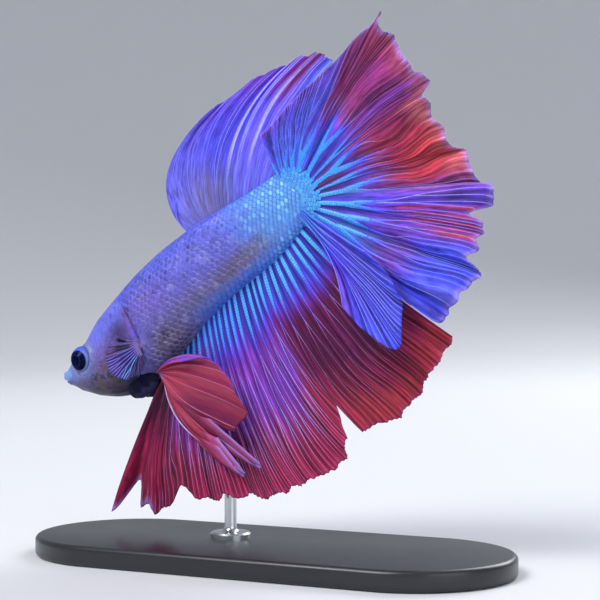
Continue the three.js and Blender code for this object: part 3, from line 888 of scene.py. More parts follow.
def scale_seats():
    """Each scale's root, as distance behind the snout, distance round, and size."""
    seats = []
    at, column = FIRST_COLUMN, 0
    while at < LAST_COLUMN:
        top, bottom = girth.limits(at)
        pitch = float(row_pitch(at))
        rows = np.arange(math.ceil(top / pitch), math.floor(bottom / pitch) + 1)
        for row in rows[(rows + column) % 2 == 0]:
            seats.append((at, row * pitch, pitch))
        at += float(column_pitch(at)) / 2
        column += 1
    seats = np.array(seats)
    turn = girth.turn_at(seats[:, 0], seats[:, 1])
    x, _, z = body_point(seats[:, 0], turn).T
    past = seats[:, 0] - cover_edge(turn)
    keep = (past > -0.8) | (turn < COVER_TOP)
    keep &= ~((x < 15.0) & (turn > 0.36))
    keep &= np.hypot(x - PECTORAL_AT, z - PECTORAL_UP) > BARE_ROOT
    return seats[keep], turn[keep]


seats, seat_turns = scale_seats()
print(len(seats), "scales on each side")

# %% [markdown]
# One scale is a small curved shield: narrow at its root, broadest before the middle, rounded at its
# free edge, a little domed, and thin. It is drawn once, as a small grid of lengths and sides.

# %% One scale
SHIELD_LENGTHS = np.array([0.0, 0.3, 0.55, 0.75, 0.9, 1.0])
SHIELD_WIDTHS = np.array([0.62, 0.93, 1.0, 0.86, 0.58, 0.24])
SHIELD_SIDES = np.array([-1.0, -0.6, -0.2, 0.2, 0.6, 1.0])
SHIELD_ALONG = np.repeat(SHIELD_LENGTHS, len(SHIELD_SIDES))
SHIELD_ACROSS = np.tile(SHIELD_SIDES, len(SHIELD_LENGTHS))
SHIELD_SPREAD = SHIELD_ACROSS * np.repeat(SHIELD_WIDTHS, len(SHIELD_SIDES))
SHIELD_THICKNESS, SHIELD_HIDDEN = 0.028, 0.35
PATCH_SIZE = 0.003


def shield_faces():
    rows, columns = len(SHIELD_LENGTHS), len(SHIELD_SIDES)
    top = np.arange(rows * columns).reshape(rows, columns)
    under = top + rows * columns
    faces = []
    for i in range(rows - 1):
        for j in range(columns - 1):
            a, b, c, d = top[i, j], top[i, j + 1], top[i + 1, j + 1], top[i + 1, j]
            faces.append((a, b, c, d))
            faces.append(tuple(under.ravel()[k] for k in (d, c, b, a)))
    rim = list(top[0]) + list(top[1:, -1]) + list(top[-1, -2::-1]) + list(top[-2:0:-1, 0])
    low = [k + rows * columns for k in rim]
    for k in range(len(rim)):
        m = (k + 1) % len(rim)
        faces.append((rim[m], rim[k], low[k], low[m]))
    return np.array(faces)


print("faces of one scale:", len(shield_faces()))

# %% [markdown]
# All scales of one side are joined to one mesh. For baking, the UV map OFBake gives each scale a tiny
# patch at its root's place on the skin's unwrap. A scale takes the flesh's colour under it. On the
# flank its free edge is a little paler, and on the tail stalk it is sky blue with a dark rim. Some
# stalk scales carry a painted glint, a painted highlight, and the root of each stalk scale is painted
# darker as the shadow of the scale that lies over it.

# %% Joining and colouring the scales


def join_scales(name, top, under, colours, uv, left):
    """One mesh of many shields, whose points are given shield by shield."""
    count, per = top.shape[:2]
    faces = shield_faces()
    faces = faces if left else faces[:, ::-1]
    every = (faces[None] + (np.arange(count) * 2 * per)[:, None, None]).reshape(-1, 4)
    points = np.stack([top, under], axis=1).reshape(-1, 3)
    piece = from_points(name, points, every.tolist())
    tint(piece, np.stack([colours, colours], axis=1).reshape(-1, 3))
    lay_uv(piece, "OFBake", np.stack([uv, uv], axis=1).reshape(-1, 2))
    return smooth(piece, scale_finish)


def shield_rim(count):
    """1 on the free edge of each of a number of shields."""
    return np.tile(ease(0.74, 0.95, np.hypot(SHIELD_ALONG, 0.75 * SHIELD_ACROSS) / 1.1), count)


def bake_patch(at, turn):
    """A tiny patch for each scale, at its root's place on the unwrap of the skin."""
    patch = np.stack([SHIELD_ALONG - 0.5, SHIELD_ACROSS / 2], axis=1) * PATCH_SIZE
    return unwrap(at, turn)[:, None, :] + patch[None]


def scale_colours(root_at, turn, own, chance):
    """The markings of the flesh, with a pale rim on the flank and blue rims on the stalk, a painted
    highlight on some stalk scales, and a painted shadow at the root of each stalk scale.
    """
    count, per = own.shape[:2]
    x, y, z = body_point(root_at, turn).T
    u, w = np.tile(SHIELD_ALONG, count), np.tile(SHIELD_ACROSS, count)
    stalk = ease(35, 44, x) * (1 - 0.75 * blotch(x, z, (43, -2.2), 6, 1.8))
    # A painted highlight, a glint, on the centres of some stalk scales.
    painted_glint = np.repeat(ease(0.1, 0.5, chance[1]) * stalk, per)
    azure = np.repeat(ease(0.35, 0.43, fold(turn)) * ease(22, 28, x), per)
    stalk = np.repeat(stalk, per)
    rim = shield_rim(count)
    centre = (1 - rim) * ease(0.35, 0.6, u)
    colour = own.reshape(-1, 3) * np.repeat(1 + 0.12 * chance[0], per)[:, None]
    colour = coats(
        colour,
        (SKY * 0.85, 0.5 * stalk * centre),
        (paint(140, 226, 255), 0.7 * painted_glint * centre),
        (TURQUOISE * 0.4, 0.65 * stalk * rim),
        (TURQUOISE * 0.8, 0.5 * azure * centre),
        (BLUE_VIOLET * 0.5, 0.6 * azure * rim),
    )
    pale = np.repeat(0.14 + 0.2 * chance[2], per)
    colour = wash(colour, PALE_LILAC * 0.8, pale * rim * (1 - stalk) * (1 - azure))
    # Painted shadow at the root of each stalk scale, where the scale in front lies over it.
    root_shadow = 0.3 * stalk * (1 - ease(0.3, 0.55, u))
    dark = (chance[2] > 0.3) & (cloud(np.stack([x, y, z], axis=1), 2.2, 11) > 0.46)
    dark = np.repeat(dark & (x > 15) & (x < 40), per) * (1 - ease(0.5, 0.62, u)) * (w > -0.3)
    return wash(colour * (1 - root_shadow)[:, None], INK, 0.4 * dark).reshape(count, per, 3)


print("a scale's patch for baking:", PATCH_SIZE, "of the map")

# %% [markdown]
# The coat is laid on by bending each scale's points onto the body with the girth table, lowest at
# the root and lifted at the free edge. No two scales are quite the same size. Those by the gill
# cover are tucked under its edge, and the small ones on the bare nape lie flatter.

# %% The scale coat


def build_scales(name, left):
    count = len(seats)
    u, w = SHIELD_ALONG, SHIELD_ACROSS
    per = len(u)
    root_at, root_arc, pitch = seats.T
    chance = [hashed(np.stack([root_at, root_arc, pitch], axis=1), seed) - 0.5 for seed in (3, 4, 5, 6)]
    length = 1.62 * column_pitch(root_at) * (1 + 0.1 * chance[0])
    half = 0.86 * pitch * (1 + 0.12 * chance[1])
    at = root_at[:, None] + length[:, None] * (u - SHIELD_HIDDEN)[None]
    arc = root_arc[:, None] + half[:, None] * SHIELD_SPREAD[None] + 0.05 * chance[2][:, None]
    turn = girth.turn_at(at.ravel(), arc.ravel())
    domed = (0.024 + 0.02 * ease(34, 42, root_at))[:, None]
    lift = domed * (u**1.3 + 0.3 * (1 - w**2) * (0.4 + u))[None] + 0.01 * chance[3][:, None] * u[None]
    bare = (1 - ease(13.5, 17.5, root_at)) * (seat_turns < COVER_TOP + 0.03)
    lift = lift * (1 - 0.4 * bare)[:, None] - 0.012 - 0.01 * bare[:, None]
    at = np.minimum(at, BODY_LENGTH - 0.02).ravel()
    tucked = np.clip(cover_edge(turn) + 0.4 - at, 0, 3) * cover_height(fold(turn))
    normal = body_normal(at, turn)
    raised = relief(at + tucked, turn)
    top = body_point(at, turn, -SCALE_DEPTH) + normal * (raised + lift.ravel())[:, None]
    under = top - normal * SHIELD_THICKNESS
    seen = flesh_colour(at, turn).reshape(count, per, 3)
    own = 0.7 * seen + 0.3 * flesh_colour(root_at, seat_turns)[:, None]
    colours = scale_colours(root_at, seat_turns, own, chance)
    uv = bake_patch(root_at, seat_turns if left else 1 - seat_turns)
    sided = np.array([1, 1 if left else -1, 1])
    top, under = ((points * sided).reshape(count, per, 3) for points in (top, under))
    return join_scales(name, top, under, colours, uv, left)


scales_left = build_scales("scales_left", True)
scales_right = build_scales("scales_right", False)
ready(scales_left, "skin")
ready(scales_right, "skin")

# %% [markdown]
# A betta's eye is a ball that bulges a little from its socket: a pale rim, painted darker as shade
# where it goes down into the socket, a dark navy iris, a black pupil with a faint ring, and a bright
# blue crescent above and behind. It starts as a UV sphere whose pole points along the eye's own axis,
# so the rings of the sphere are the rings of the eye. A low dome over the pupil and a faint clear coat
# stand for the cornea.

# %% The eyes
EYE_FORWARD = math.radians(13)
PUPIL, IRIS = 0.82, 1.56
eye_finish = finish_material(
    "eye_gloss", 1200, 0.25, 0.005,
    {"Roughness": 0.5, "Specular IOR Level": 0.0, "Coat Weight": 0.1, "Coat Roughness": 0.04},
)


def build_eye(name, sign):
    deselect()
    bpy.ops.mesh.primitive_uv_sphere_add(segments=72, ring_count=64, radius=1)
    eye = bpy.context.object
    eye.name = eye.data.name = name
    ball = read_points(eye)
    away = np.hypot(ball[:, 0], ball[:, 1])
    facing = ball[:, 2] > 0
    domed = 0.1 * (1 - ease(0.35, 0.8, away)) * facing
    axis = np.array([-math.sin(EYE_FORWARD), sign * math.cos(EYE_FORWARD), 0.0])
    rear = np.array([math.cos(EYE_FORWARD), sign * math.sin(EYE_FORWARD), 0.0])
    flat = ball[:, :1] * rear + ball[:, 1:2] * np.array([0.0, 0.0, 1.0])
    points = EYE_RADIUS * (flat + ball[:, 2:] * axis * (EYE_FLAT + domed)[:, None])
    place_points(eye, points + np.array([EYE_AT, sign * EYE_SIDE, EYE_UP]))
    distance = away * EYE_RADIUS
    around = np.degrees(np.arctan2(ball[:, 1], ball[:, 0]))
    colour = filled(paint(128, 142, 200), ball)
    colour = wash(colour, paint(176, 190, 236), bump(around - 110, 60) * ease(0.35, 0.7, ball[:, 2]))
    # Painted shade where the ball goes down into its socket.
    colour = wash(colour, paint(84, 92, 160), 1 - ease(0.2, 0.62, ball[:, 2]))
    crescent = bump(distance - 1.7, 0.15) * bump(around - 58, 46) * facing
    iris = (1 - ease(IRIS - 0.07, IRIS + 0.07, distance)) * facing
    colour = coats(
        colour,
        (paint(5, 10, 46), iris),
        (paint(14, 30, 100), 0.6 * iris * bump(distance - 1.35, 0.18) * bump(around - 60, 70)),
        (paint(50, 54, 88), 0.5 * bump(distance - PUPIL - 0.05, 0.04) * facing),
        (paint(0, 4, 44), (1 - ease(PUPIL - 0.05, PUPIL + 0.02, distance)) * facing),
        (paint(48, 92, 255), crescent),
    )
    tint(eye, colour)
    face_outwards(eye)
    return smooth(eye, eye_finish)


eye_left = build_eye("eyeball_left", -1)
eye_right = build_eye("eyeball_right", 1)
ready(eye_left, "eye", "eye_left")
ready(eye_right, "eye", "eye_right")

# %% [markdown]
# Under each gill cover a dark membrane is folded over soft bony rods. It bulges below the throat
# like a small beard. It is a grid wrapped into a long rounded pouch, with a shallow pleat between
# each pair of rods and a paler lower edge. Each side stops just short of the middle, so that the
# two pouches lie against each other.

# %% The gill membranes
MEMBRANE_AT, MEMBRANE_SIDE, MEMBRANE_UP = 12.0, 1.6, -8.6
MEMBRANE_RADII = np.array([2.75, 1.25, 1.8])
MEMBRANE_PLEATS, MEMBRANE_GAP, POUCH_FULLNESS = 11, 0.24, 0.92
membrane_finish = finish_material(
    "gill_membrane_soft", 1400, 0.6, 0.05,
    {"Roughness": 0.7, "Specular IOR Level": 0.15},
)


def build_membrane(name, sign):
    piece, round_, along_ = new_grid(name, 96, 56)
    angle, lean = 2 * np.pi * round_, np.pi * (along_ - 0.5)
    folds = np.cos(MEMBRANE_PLEATS * lean + 1.6 * np.cos(angle))
    pleat = 1 + 0.03 * folds * np.cos(lean) * ease(-0.5, 0.5, -np.cos(angle))
    waves = (np.sin(lean), np.sin(angle), np.cos(angle))
    boxed = [np.sign(wave) * np.abs(wave) ** POUCH_FULLNESS for wave in waves]
    across = np.cos(lean) ** POUCH_FULLNESS
    unit = np.stack([boxed[0], across * boxed[1] * pleat, across * boxed[2] * pleat], axis=1)
    points = unit * MEMBRANE_RADII * np.array([0.98, sign, 0.98])
    points += np.array([MEMBRANE_AT, sign * MEMBRANE_SIDE, MEMBRANE_UP])
    points[:, 1] = sign * np.maximum(sign * points[:, 1], MEMBRANE_GAP / 2)
    colour = filled(paint(9, 10, 38), points)
    colour = wash(colour, paint(48, 44, 84), ease(-9.2, -9.7, points[:, 2] - 0.2 * folds) * 0.95)
    colour = wash(colour, paint(20, 26, 78), 0.4 * ease(0.3, 1, folds))
    place_points(piece, points)
    tint(piece, colour)
    face_outwards(piece, merge=True)
    return smooth(piece, membrane_finish)


ready(build_membrane("membrane_left", -1), "gill_membrane", "gill_membrane_left")
ready(build_membrane("membrane_right", 1), "gill_membrane", "gill_membrane_right")

# %% [markdown]
# A fin is a fan of leading rays, front to back. Each has its root, its tip, how far its middle bows
# forward, how far its tip swings to the fish's right, and how deep the web is notched before the
# next. `Fin.point` gives any place on its middle surface: `place` counts the leading rays, `reach`
# goes from 0 at the root to 1 at the edge. It is the rule that shaped the fins' solids.

# %% Fins as fans of rays


def fin_cloud(k, reach, across, along_it, seed):
    """Smooth noise on a fin, with so many lumps to each ray and over its length."""
    return cloud(np.stack([k * across, reach * along_it, 0 * k], axis=1), 1.0, seed)


class Fin:
    def __init__(self, start, tip, bow, swing, notch, ripple, waves=0.5, curve=1.5, up=False):
        self.start, self.tip = np.array(start, float), np.array(tip, float)
        self.bow, self.swing, self.notch = np.array(bow), np.array(swing), np.array(notch, float)
        self.ripple, self.waves, self.curve, self.up = ripple, waves, curve, up
        self.last = len(self.bow) - 1

    def point(self, place, reach):
        """Points on the middle surface, in millimetres on the straight fish."""
        root = np.stack([along(self.start[:, i], place) for i in range(3)], axis=1)
        tip = np.stack([along(self.tip[:, 0], place), root[:, 1], along(self.tip[:, 1], place)], axis=1)
        row = np.minimum(np.floor(place).astype(int), self.last)
        cut = self.notch[row] * np.sin(np.pi * (place - np.floor(place))) ** 2
        span = np.linalg.norm(tip - root, axis=1)
        tip = tip + (root - tip) * (cut / span)[:, None]
        forward = np.stack([tip[:, 2] - root[:, 2], np.zeros(len(tip)), root[:, 0] - tip[:, 0]], axis=1)
        forward /= np.linalg.norm(forward, axis=1)[:, None]
        forward *= -1 if self.up else 1
        bend = 4 * along(self.bow, place) * reach * (1 - reach)
        point = root + (tip - root) * reach[:, None] + forward * bend[:, None]
        point[:, 1] += along(self.swing, place) * np.abs(reach) ** self.curve
        point[:, 1] += self.ripple * np.sin(2 * np.pi * place * self.waves) * reach**2
        return point


plain = Fin([[0, 0, 0], [2, 0, 0]], [[0, 9], [2, 9]], [0, 0], [0, 0], [0, 0], ripple=0)
print("the middle of a plain square fin:", plain.point(np.array([0.5]), np.array([0.5]))[0])

# %% [markdown]
# Two fins stand on the middle line of the body, one on the back and the long one below. Each table
# has a row for every leading ray, in millimetres. They are rooted on the body's own outline, sunk a
# little.

# %% The fins on the back and below
ROOT_SUNK = 0.6
DORSAL_ROWS = np.array([
    # root, tip along, tip up, bow, swing, notch
    [30.2, 30, 9.9, 0.3, 0.2, 1.0],
    [31, 38.5, 18.7, 4.2, 0.5, 0.1],
    [32.6, 44.5, 19.5, 4.4, 1.1, 0.1],
    [34.4, 50.5, 19.4, 4.2, 1.6, 0.2],
    [36.4, 55.2, 18.4, 3.7, 2.0, 0.2],
    [38.6, 58.8, 17.8, 3.2, 2.2, 0.5],
    [40.8, 61.3, 16.6, 2.6, 2.2, 0.2],
    [43, 62.4, 14.2, 2, 2, 0.2],
    [45, 62.6, 11.6, 1.4, 1.8, 0.2],
    [46.4, 60, 9.4, 0.8, 1.6, 0],
])
ANAL_ROWS = np.array([
    [16.6, -6.2, -20.7, 0.3, 3.2, 4.8],
    [17.6, -1, -22.6, 0.5, 3, 1.2],
    [18.6, 0.8, -25, 0.6, 2.6, 0.4],
    [19.6, 3.8, -25.5, 0.7, 2.2, 2.4],
    [21, 10, -27.4, 0.8, -0.7, 0.2],
    [22.4, 12.8, -29.5, 0.8, -1.1, 1.1],
    [24, 16, -31.1, 0.7, -1.4, 0.8],
    [26.2, 19.6, -33.3, 1.3, -1.1, 0.2],
    [28.4, 22.8, -34.1, 1.8, -1.2, 0.7],
    [30.6, 26.4, -34.7, 2.1, -1.5, 0.3],
    [33.2, 31.4, -35.6, 2.3, -1.1, 0.2],
    [35, 34.2, -34.4, 2.3, -0.9, 0],
    [35.9, 35.3, -32.6, 2.2, -0.7, 5.2],
    [38.2, 37.5, -33, 1.9, 0.6, 0.3],
    [40.4, 42.6, -33.9, 1.5, 1.1, 0.5],
    [42.6, 47.4, -33.1, 1.1, 0.6, 0.5],
    [44.8, 51.4, -31, 0.7, 1, 0.3],
    [46.6, 56.2, -29.4, 0.4, 0.7, 0],
])


def middle_fin(rows, on_back, **folds):
    back, belly, _ = outline(rows[:, 0])
    height = back - ROOT_SUNK if on_back else belly + ROOT_SUNK
    start = np.stack([rows[:, 0], np.zeros(len(rows)), height], axis=1)
    return Fin(start, rows[:, 1:3], rows[:, 3], rows[:, 4], rows[:, 5], up=on_back, **folds)


dorsal = middle_fin(DORSAL_ROWS, True, ripple=0.35)
anal = middle_fin(ANAL_ROWS, False, ripple=0.45)
print("leading rays on the back and below:", dorsal.last + 1, anal.last + 1)

# %% [markdown]
# The tail has two layers, a wide fan and a lower lobe beside it. Its tables give each leading ray's
# angle in degrees and its length, and the rays start on a small circle round the fan's middle.

# %% The two layers of the tail
FAN_MIDDLE = np.array([46.4, 0.5])
FAN_ROOT = 2.6
CAUDAL_ROWS = np.array([
    # angle, length, bow, swing, notch
    [77, 10.2, 0.3, -1.6, 0.1],
    [55, 12.8, 0.6, -2.2, 0.1],
    [37.5, 18.1, 0.6, -2.6, 0.1],
    [29.5, 24.1, 0.6, -2.4, 0.1],
    [27.1, 27.2, 0.5, -1.9, 0],
    [26.1, 29.9, 0.5, -1.6, 0],
    [24.4, 28, 0.7, -1.3, 0.1],
    [19.4, 27.7, 1.4, -0.6, 0.2],
    [10.5, 26.8, 1.2, -1.8, 0.5],
    [4.5, 27.2, 1, -2.9, 0.3],
    [1.1, 27.7, 1, -3, 0],
    [-0.8, 25.1, 1, -2.6, 0],
    [-3.6, 25.7, 0.9, -1.8, 0.9],
    [-12.5, 25.9, 0.8, -2.2, 0.2],
    [-18.6, 26.2, 0.8, -2.1, 0],
    [-21.4, 28, 0.7, -1.4, 0.1],
    [-29.6, 28.9, 0.6, -0.8, 0],
    [-31.8, 31.1, 0.5, -2.4, 0],
    [-36.6, 31.6, 0.4, -3.4, 2.6],
    [-40.9, 30.1, 0.4, -2.4, 0.1],
    [-43.6, 30.3, 0.3, -1.8, 0.9],
    [-47.8, 30.4, 0.2, -2.4, 1.5],
    [-52.6, 30.9, 0.1, -2.2, 0],
    [-54.4, 31.7, 0, -2, 0.2],
    [-57.8, 31, -0.1, -2.4, 0.6],
    [-62.6, 30.2, -0.2, -2.8, 0.4],
    [-66.4, 29.9, -0.4, -2.4, 0.2],
    [-69.4, 29.7, -0.5, -2.2, 0.2],
    [-71.4, 22, -0.7, -1.6, 0],
])
LOBE_ROWS = np.array([
    [-62.5, 15.6, -0.2, -3.6, 0],
    [-66, 20.8, -0.4, -4, 0],
    [-70, 23.7, -0.5, -4.2, 0],
    [-75, 25.8, -0.4, -4.3, 0],
    [-79.2, 27.7, -0.1, -4.4, 0],
    [-81.6, 28, 0.4, -4.4, 0],
    [-84.4, 25.9, 0.9, -4.3, 0],
    [-86.8, 22.8, 1.3, -4.2, 0],
    [-88.6, 18.4, 1.5, -4, 0],
])


def tail_fin(rows, side, **folds):
    angle = np.radians(rows[:, 0])
    way = np.stack([np.cos(angle), np.sin(angle)], axis=1)
    root = FAN_MIDDLE + FAN_ROOT * way
    start = np.stack([root[:, 0], np.full(len(rows), side), root[:, 1]], axis=1)
    tip = FAN_MIDDLE + rows[:, 1:2] * way
    return Fin(start, tip, rows[:, 2], rows[:, 3], rows[:, 4], up=True, **folds)


caudal = tail_fin(CAUDAL_ROWS, -0.5, ripple=0.4)
lobe = tail_fin(LOBE_ROWS, -1.6, ripple=0.3)
print("leading rays in the tail:", caudal.last + 1, lobe.last + 1)

# %% [markdown]
# Paired fins grow from a short base on each side. The right pelvic fin is held further forward and
# out than the left, as a swimming betta's often are, which also clears the stand's rod.

# %% The paired fins
PELVIC_ROWS = np.array([
    # tip along, tip up, bow, swing, notch
    [18.2, -23.9, 2.7, 1.4, 0],
    [19, -24.5, 2.6, 1.5, 3.2],
    [19.3, -28.9, 2.5, 1.6, 0],
    [20, -28.7, 2.3, 1.7, 7],
    [22.4, -29.4, 2.1, 2, 0],
    [23, -28.9, 1.9, 2.1, 7.2],
    [22.4, -23.2, 1.3, 2.8, 0.2],
    [26, -22, -0.2, 3.4, 0.3],
    [26.2, -17, -1.4, 3.6, 0.1],
    [24.8, -12.2, -1.5, 3.2, 0.1],
    [20.6, -10, -0.6, 2.8, 0],
])
PECTORAL_ROWS = np.array([
    [14, -1.1, 0.3, 1.3, 0.1],
    [12.2, -1.9, 0.3, 1.8, 0.1],
    [11, -3.3, 0.3, 2.1, 0.1],
    [10.7, -5, 0.2, 2.3, 0.1],
    [11.2, -6.6, 0.1, 2.2, 0.1],
    [12.5, -7.9, -0.1, 2, 0.1],
    [14.4, -8.3, -0.3, 1.6, 0],
])


def paired_fin(rows, sign, root, spread, slant, turn=0.0, wide=1.0, **folds):
    at, side, up = root
    lean = rows[:, :2] - np.array([at, up])
    c, s = math.cos(-math.radians(turn)), math.sin(-math.radians(turn))
    lean = np.stack([lean[:, 0] * c - lean[:, 1] * s, lean[:, 0] * s + lean[:, 1] * c], axis=1)
    step = spread * (np.linspace(0, 1, len(rows)) - 0.5)
    out = np.full(len(rows), sign * side)
    start = np.stack([at - step * slant[0], out, up - step * slant[1]], axis=1)
    tip = lean + np.array([at, up])
    return Fin(start, tip, rows[:, 2], sign * wide * rows[:, 3], rows[:, 4], **folds)


PELVIC_PLACE = dict(root=(15.2, 1.4, -8.3), spread=1.6, slant=(1, 0.1), ripple=0.25, curve=1.0)
PECTORAL_PLACE = dict(
    root=(15.8, 4.2, PECTORAL_UP), spread=2.2, slant=(0.1, 1), ripple=0.15, curve=0.7, up=True
)
pelvic_left = paired_fin(PELVIC_ROWS, -1, **PELVIC_PLACE)
pelvic_right = paired_fin(PELVIC_ROWS, 1, turn=16, wide=1.5, **PELVIC_PLACE)
pectoral_left = paired_fin(PECTORAL_ROWS, -1, **PECTORAL_PLACE)
pectoral_right = paired_fin(PECTORAL_ROWS, 1, **PECTORAL_PLACE)
print("paired fins are laid out")

# %% [markdown]
# The real fin has more rays than the leading ones. `Rays` spreads a number of them evenly over the
# root and says how far out each fork is. `k` counts the real rays. The web is pleated on them: it
# stands up along each ray and sinks between, with finer pleats over the forks near the edge. `sway`
# adds slow folds and lets the rays wander, `fray` makes the margin ragged and shorter between the
# ray tips, `spread` says how far the branches open, and `tuck` draws a root in under its neighbour.

# %% Real rays and the pleated web


class Rays:
    def __init__(self, fin, places, forks, pleat=0.12, sway=0.0, fray=0.012, spread=0.25, tuck=0.0):
        self.fin, self.places, self.forks, self.tuck = fin, np.asarray(places, float), forks, tuck
        self.pleat, self.sway, self.fray, self.spread = pleat, sway, fray, spread
        self.count = len(self.places)
        self.fine = 2 ** len(forks)

    def place(self, k):
        return np.interp(k, np.arange(self.count), self.places)

    def point(self, k, reach):
        free = ease(0.2, 0.9, reach)
        wander = fin_cloud(k, reach, 0.45, 3.2, 81) - 0.5
        inner = ease(0, 1, k) * (1 - ease(self.count - 2, self.count - 1, k))
        place = self.place(k + 0.6 * wander * free * inner)
        point = self.fin.point(np.clip(place, 0, self.fin.last), reach)
        tall = self.pleat * (0.25 + 0.75 * ease(0, 0.5, reach)) * np.cos(2 * np.pi * k)
        small = 0.45 * self.pleat * ease(0.3, 0.7, reach)
        small = small * np.cos(2 * np.pi * self.fine * (k - 0.5 / self.fine))
        broad = fin_cloud(k, reach, 0.42, 1.2, 82) - 0.5
        point[:, 1] -= tall + small + 2 * self.sway * broad * free
        point[:, 1] += self.tuck * (1 - ease(0, 0.22, reach))
        return point

    def edge(self, k):
        """How far the web reaches at k: shorter between the tips of the forks."""
        between = np.abs(np.sin(np.pi * self.fine * (k - 0.5 / self.fine)))
        broad = fin_cloud(k, k, 1.3, 0, 21) - 0.5
        ragged = fin_cloud(k, k, 4.7, 0, 22) - 0.5
        return 1 + self.fray * (1.1 * broad + 1.2 * ragged - 0.45 * between**2)


def ray_chance(number, seed):
    """A number from 0 to 1 for each ray, the same on every run."""
    return hashed(np.round(number)[:, None] * np.ones(3), seed)


def even_places(fin, count, measure):
    """Places for a number of rays, nearly evenly spaced by a measure of the leading rays."""
    fine = np.linspace(0, fin.last, 600)
    value = along(measure, fine)
    order = np.argsort(value)
    uneven = np.arange(count) + 0.3 * (ray_chance(np.arange(count), 17) - 0.5)
    uneven[0], uneven[-1] = 0, count - 1
    wanted = value[0] + (value[-1] - value[0]) * uneven / (count - 1)
    return np.interp(wanted, value[order], fine[order])


dorsal_rays = Rays(dorsal, even_places(dorsal, 12, DORSAL_ROWS[:, 0]), (0.1,), 0.13, 0.35, spread=0.13)
anal_rays = Rays(anal, even_places(anal, 27, ANAL_ROWS[:, 0]), (0.34, 0.62), 0.12, 0.45)
caudal_rays = Rays(caudal, even_places(caudal, 15, -CAUDAL_ROWS[:, 0]), (0.2, 0.38, 0.58), 0.14, 0.5)
lobe_rays = Rays(lobe, even_places(lobe, 6, -LOBE_ROWS[:, 0]), (0.2, 0.42), 0.1, 0.15, 0.005, tuck=0.6)
PELVIC_PLACES = [0, 0.9, 2.5, 4.5, 6.1, 6.9, 7.6, 8.2, 8.8, 9.4, 10]
pelvic_rays = {
    "left": Rays(pelvic_left, PELVIC_PLACES, (), 0.2, 0.0, 0.003),
    "right": Rays(pelvic_right, PELVIC_PLACES, (), 0.2, 0.0, 0.003),
}
pectoral_rays = {
    "left": Rays(pectoral_left, np.linspace(0, 6, 11), (0.55,), 0.08, 0.0, 0.01),
    "right": Rays(pectoral_right, np.linspace(0, 6, 11), (0.55,), 0.08, 0.0, 0.01),
}
print("rays in the tail:", caudal_rays.count, "and under the body:", anal_rays.count)

# %% [markdown]
# Each fin has its own colouring, as a function of the place and the reach. The blends are uneven
# along the rays, because pigment in a fin creeps along them in streaks: `streaked` shifts the reach
# by long thin noise before a blend is laid on.

# %% Colours of the webs


def first_column(rows, place):
    """The root's distance or the angle that a fin's table gives at a place."""
    return np.interp(place, np.arange(len(rows)), rows[:, 0])


def streaked(k, reach, amount, seed):
    broad = fin_cloud(k, reach, 3.1, 1.3, seed)
    fine = fin_cloud(k, reach, 9.0, 2.2, seed + 1)
    return reach + amount * (0.6 * broad + 0.4 * fine - 0.5)


def lined(colour, k, reach, seed, strength=0.4):
    """Thin lighter and darker lines along the rays."""
    line = fin_cloud(k, reach, 9.0, 1.2, seed) - 0.5
    return colour * np.clip(1 + 3.2 * strength * line, 0.25, 2)[:, None]


def anal_web(place, k, reach):
    t = streaked(k, reach, 0.2, 30)
    root = first_column(ANAL_ROWS, place)
    fore, rear = 1 - ease(22, 28, root), ease(36.0, 37.6, root)
    front = 1 - ease(18.8, 20.4, root)
    colour = coats(
        filled(BLUE_VIOLET * 0.62, k),
        (VIOLET * 0.9, ease(0.1, 0.28, t)),
        (paint(118, 58, 168), 0.75 * fore * ease(0.05, 0.16, t)),
        (MAGENTA, ease(0.22, 0.4, t)),
        (PURPLE * 0.95, 0.75 * bump(t - 0.5, 0.16) * (1 - 0.5 * fore)),
        (CRIMSON * 0.85, ease(0.6, 0.85, t)),
        (CRIMSON * 1.2, 0.7 * ease(0.88, 1.0, t)),
        (WINE, rear * ease(0.2, 0.36, reach + 0.04 * (t - reach)) * 0.95),
        (CRIMSON * 0.85, rear * ease(0.6, 0.8, t) * 0.7),
        (ORANGE_RED, rear * ease(0.78, 0.94, t) * (0.3 + 0.35 * ease(38, 40, root))),
        (WINE * 1.2, front),
        (RUSSET * 0.8, front * 0.85 * (1 - ease(0.2, 0.5, t))),
        (CRIMSON * 0.95, front * 0.85 * ease(0.4, 0.7, t)),
        (LILAC * 0.9, front * 0.7 * ease(0.93, 1.0, reach) * (1 - ease(17.9, 18.4, root))),
        (ROSE, 0.35 * ease(0.965, 1.0, reach)),
    )
    return lined(colour, k, reach, 34)


def anal_ray(place, k, reach):
    t = streaked(k, reach, 0.16, 32)
    root = first_column(ANAL_ROWS, place)
    fore, front = 1 - ease(22, 28, root), 1 - ease(18.6, 20.0, root)
    return coats(
        filled(TURQUOISE * 1.12, k),
        (CYAN, 0.45 * ease(24, 40, root) * (1 - ease(0.05, 0.25, reach))),
        (paint(128, 110, 226), 0.8 * fore * ease(0.06, 0.18, t)),
        (BLUE_VIOLET * 1.1, ease(0.16, 0.3, t) * (1 - 0.6 * fore)),
        (LILAC * 0.85, ease(0.3, 0.44, t)),
        (PALE_LILAC, 0.45 * bump(t - 0.62, 0.16)),
        (ROSE, ease(0.74, 0.92, t) * 0.85),
        (CRIMSON * 0.8, front * (1 - ease(0.85, 0.96, reach))),
        (LILAC, front * ease(0.85, 0.96, reach)),
        (ROSE * 0.42, 0.85 * ease(36.0, 37.6, root) * ease(0.3, 0.5, t)),
        (anal_web(place, k, reach) * 1.2, 0.3 * ease(0.45, 0.7, reach)),
    )


sample = np.array([8.0]), np.array([8.0]), np.array([0.5])
print("half way out under the body:", np.round(anal_web(*sample)[0], 3))

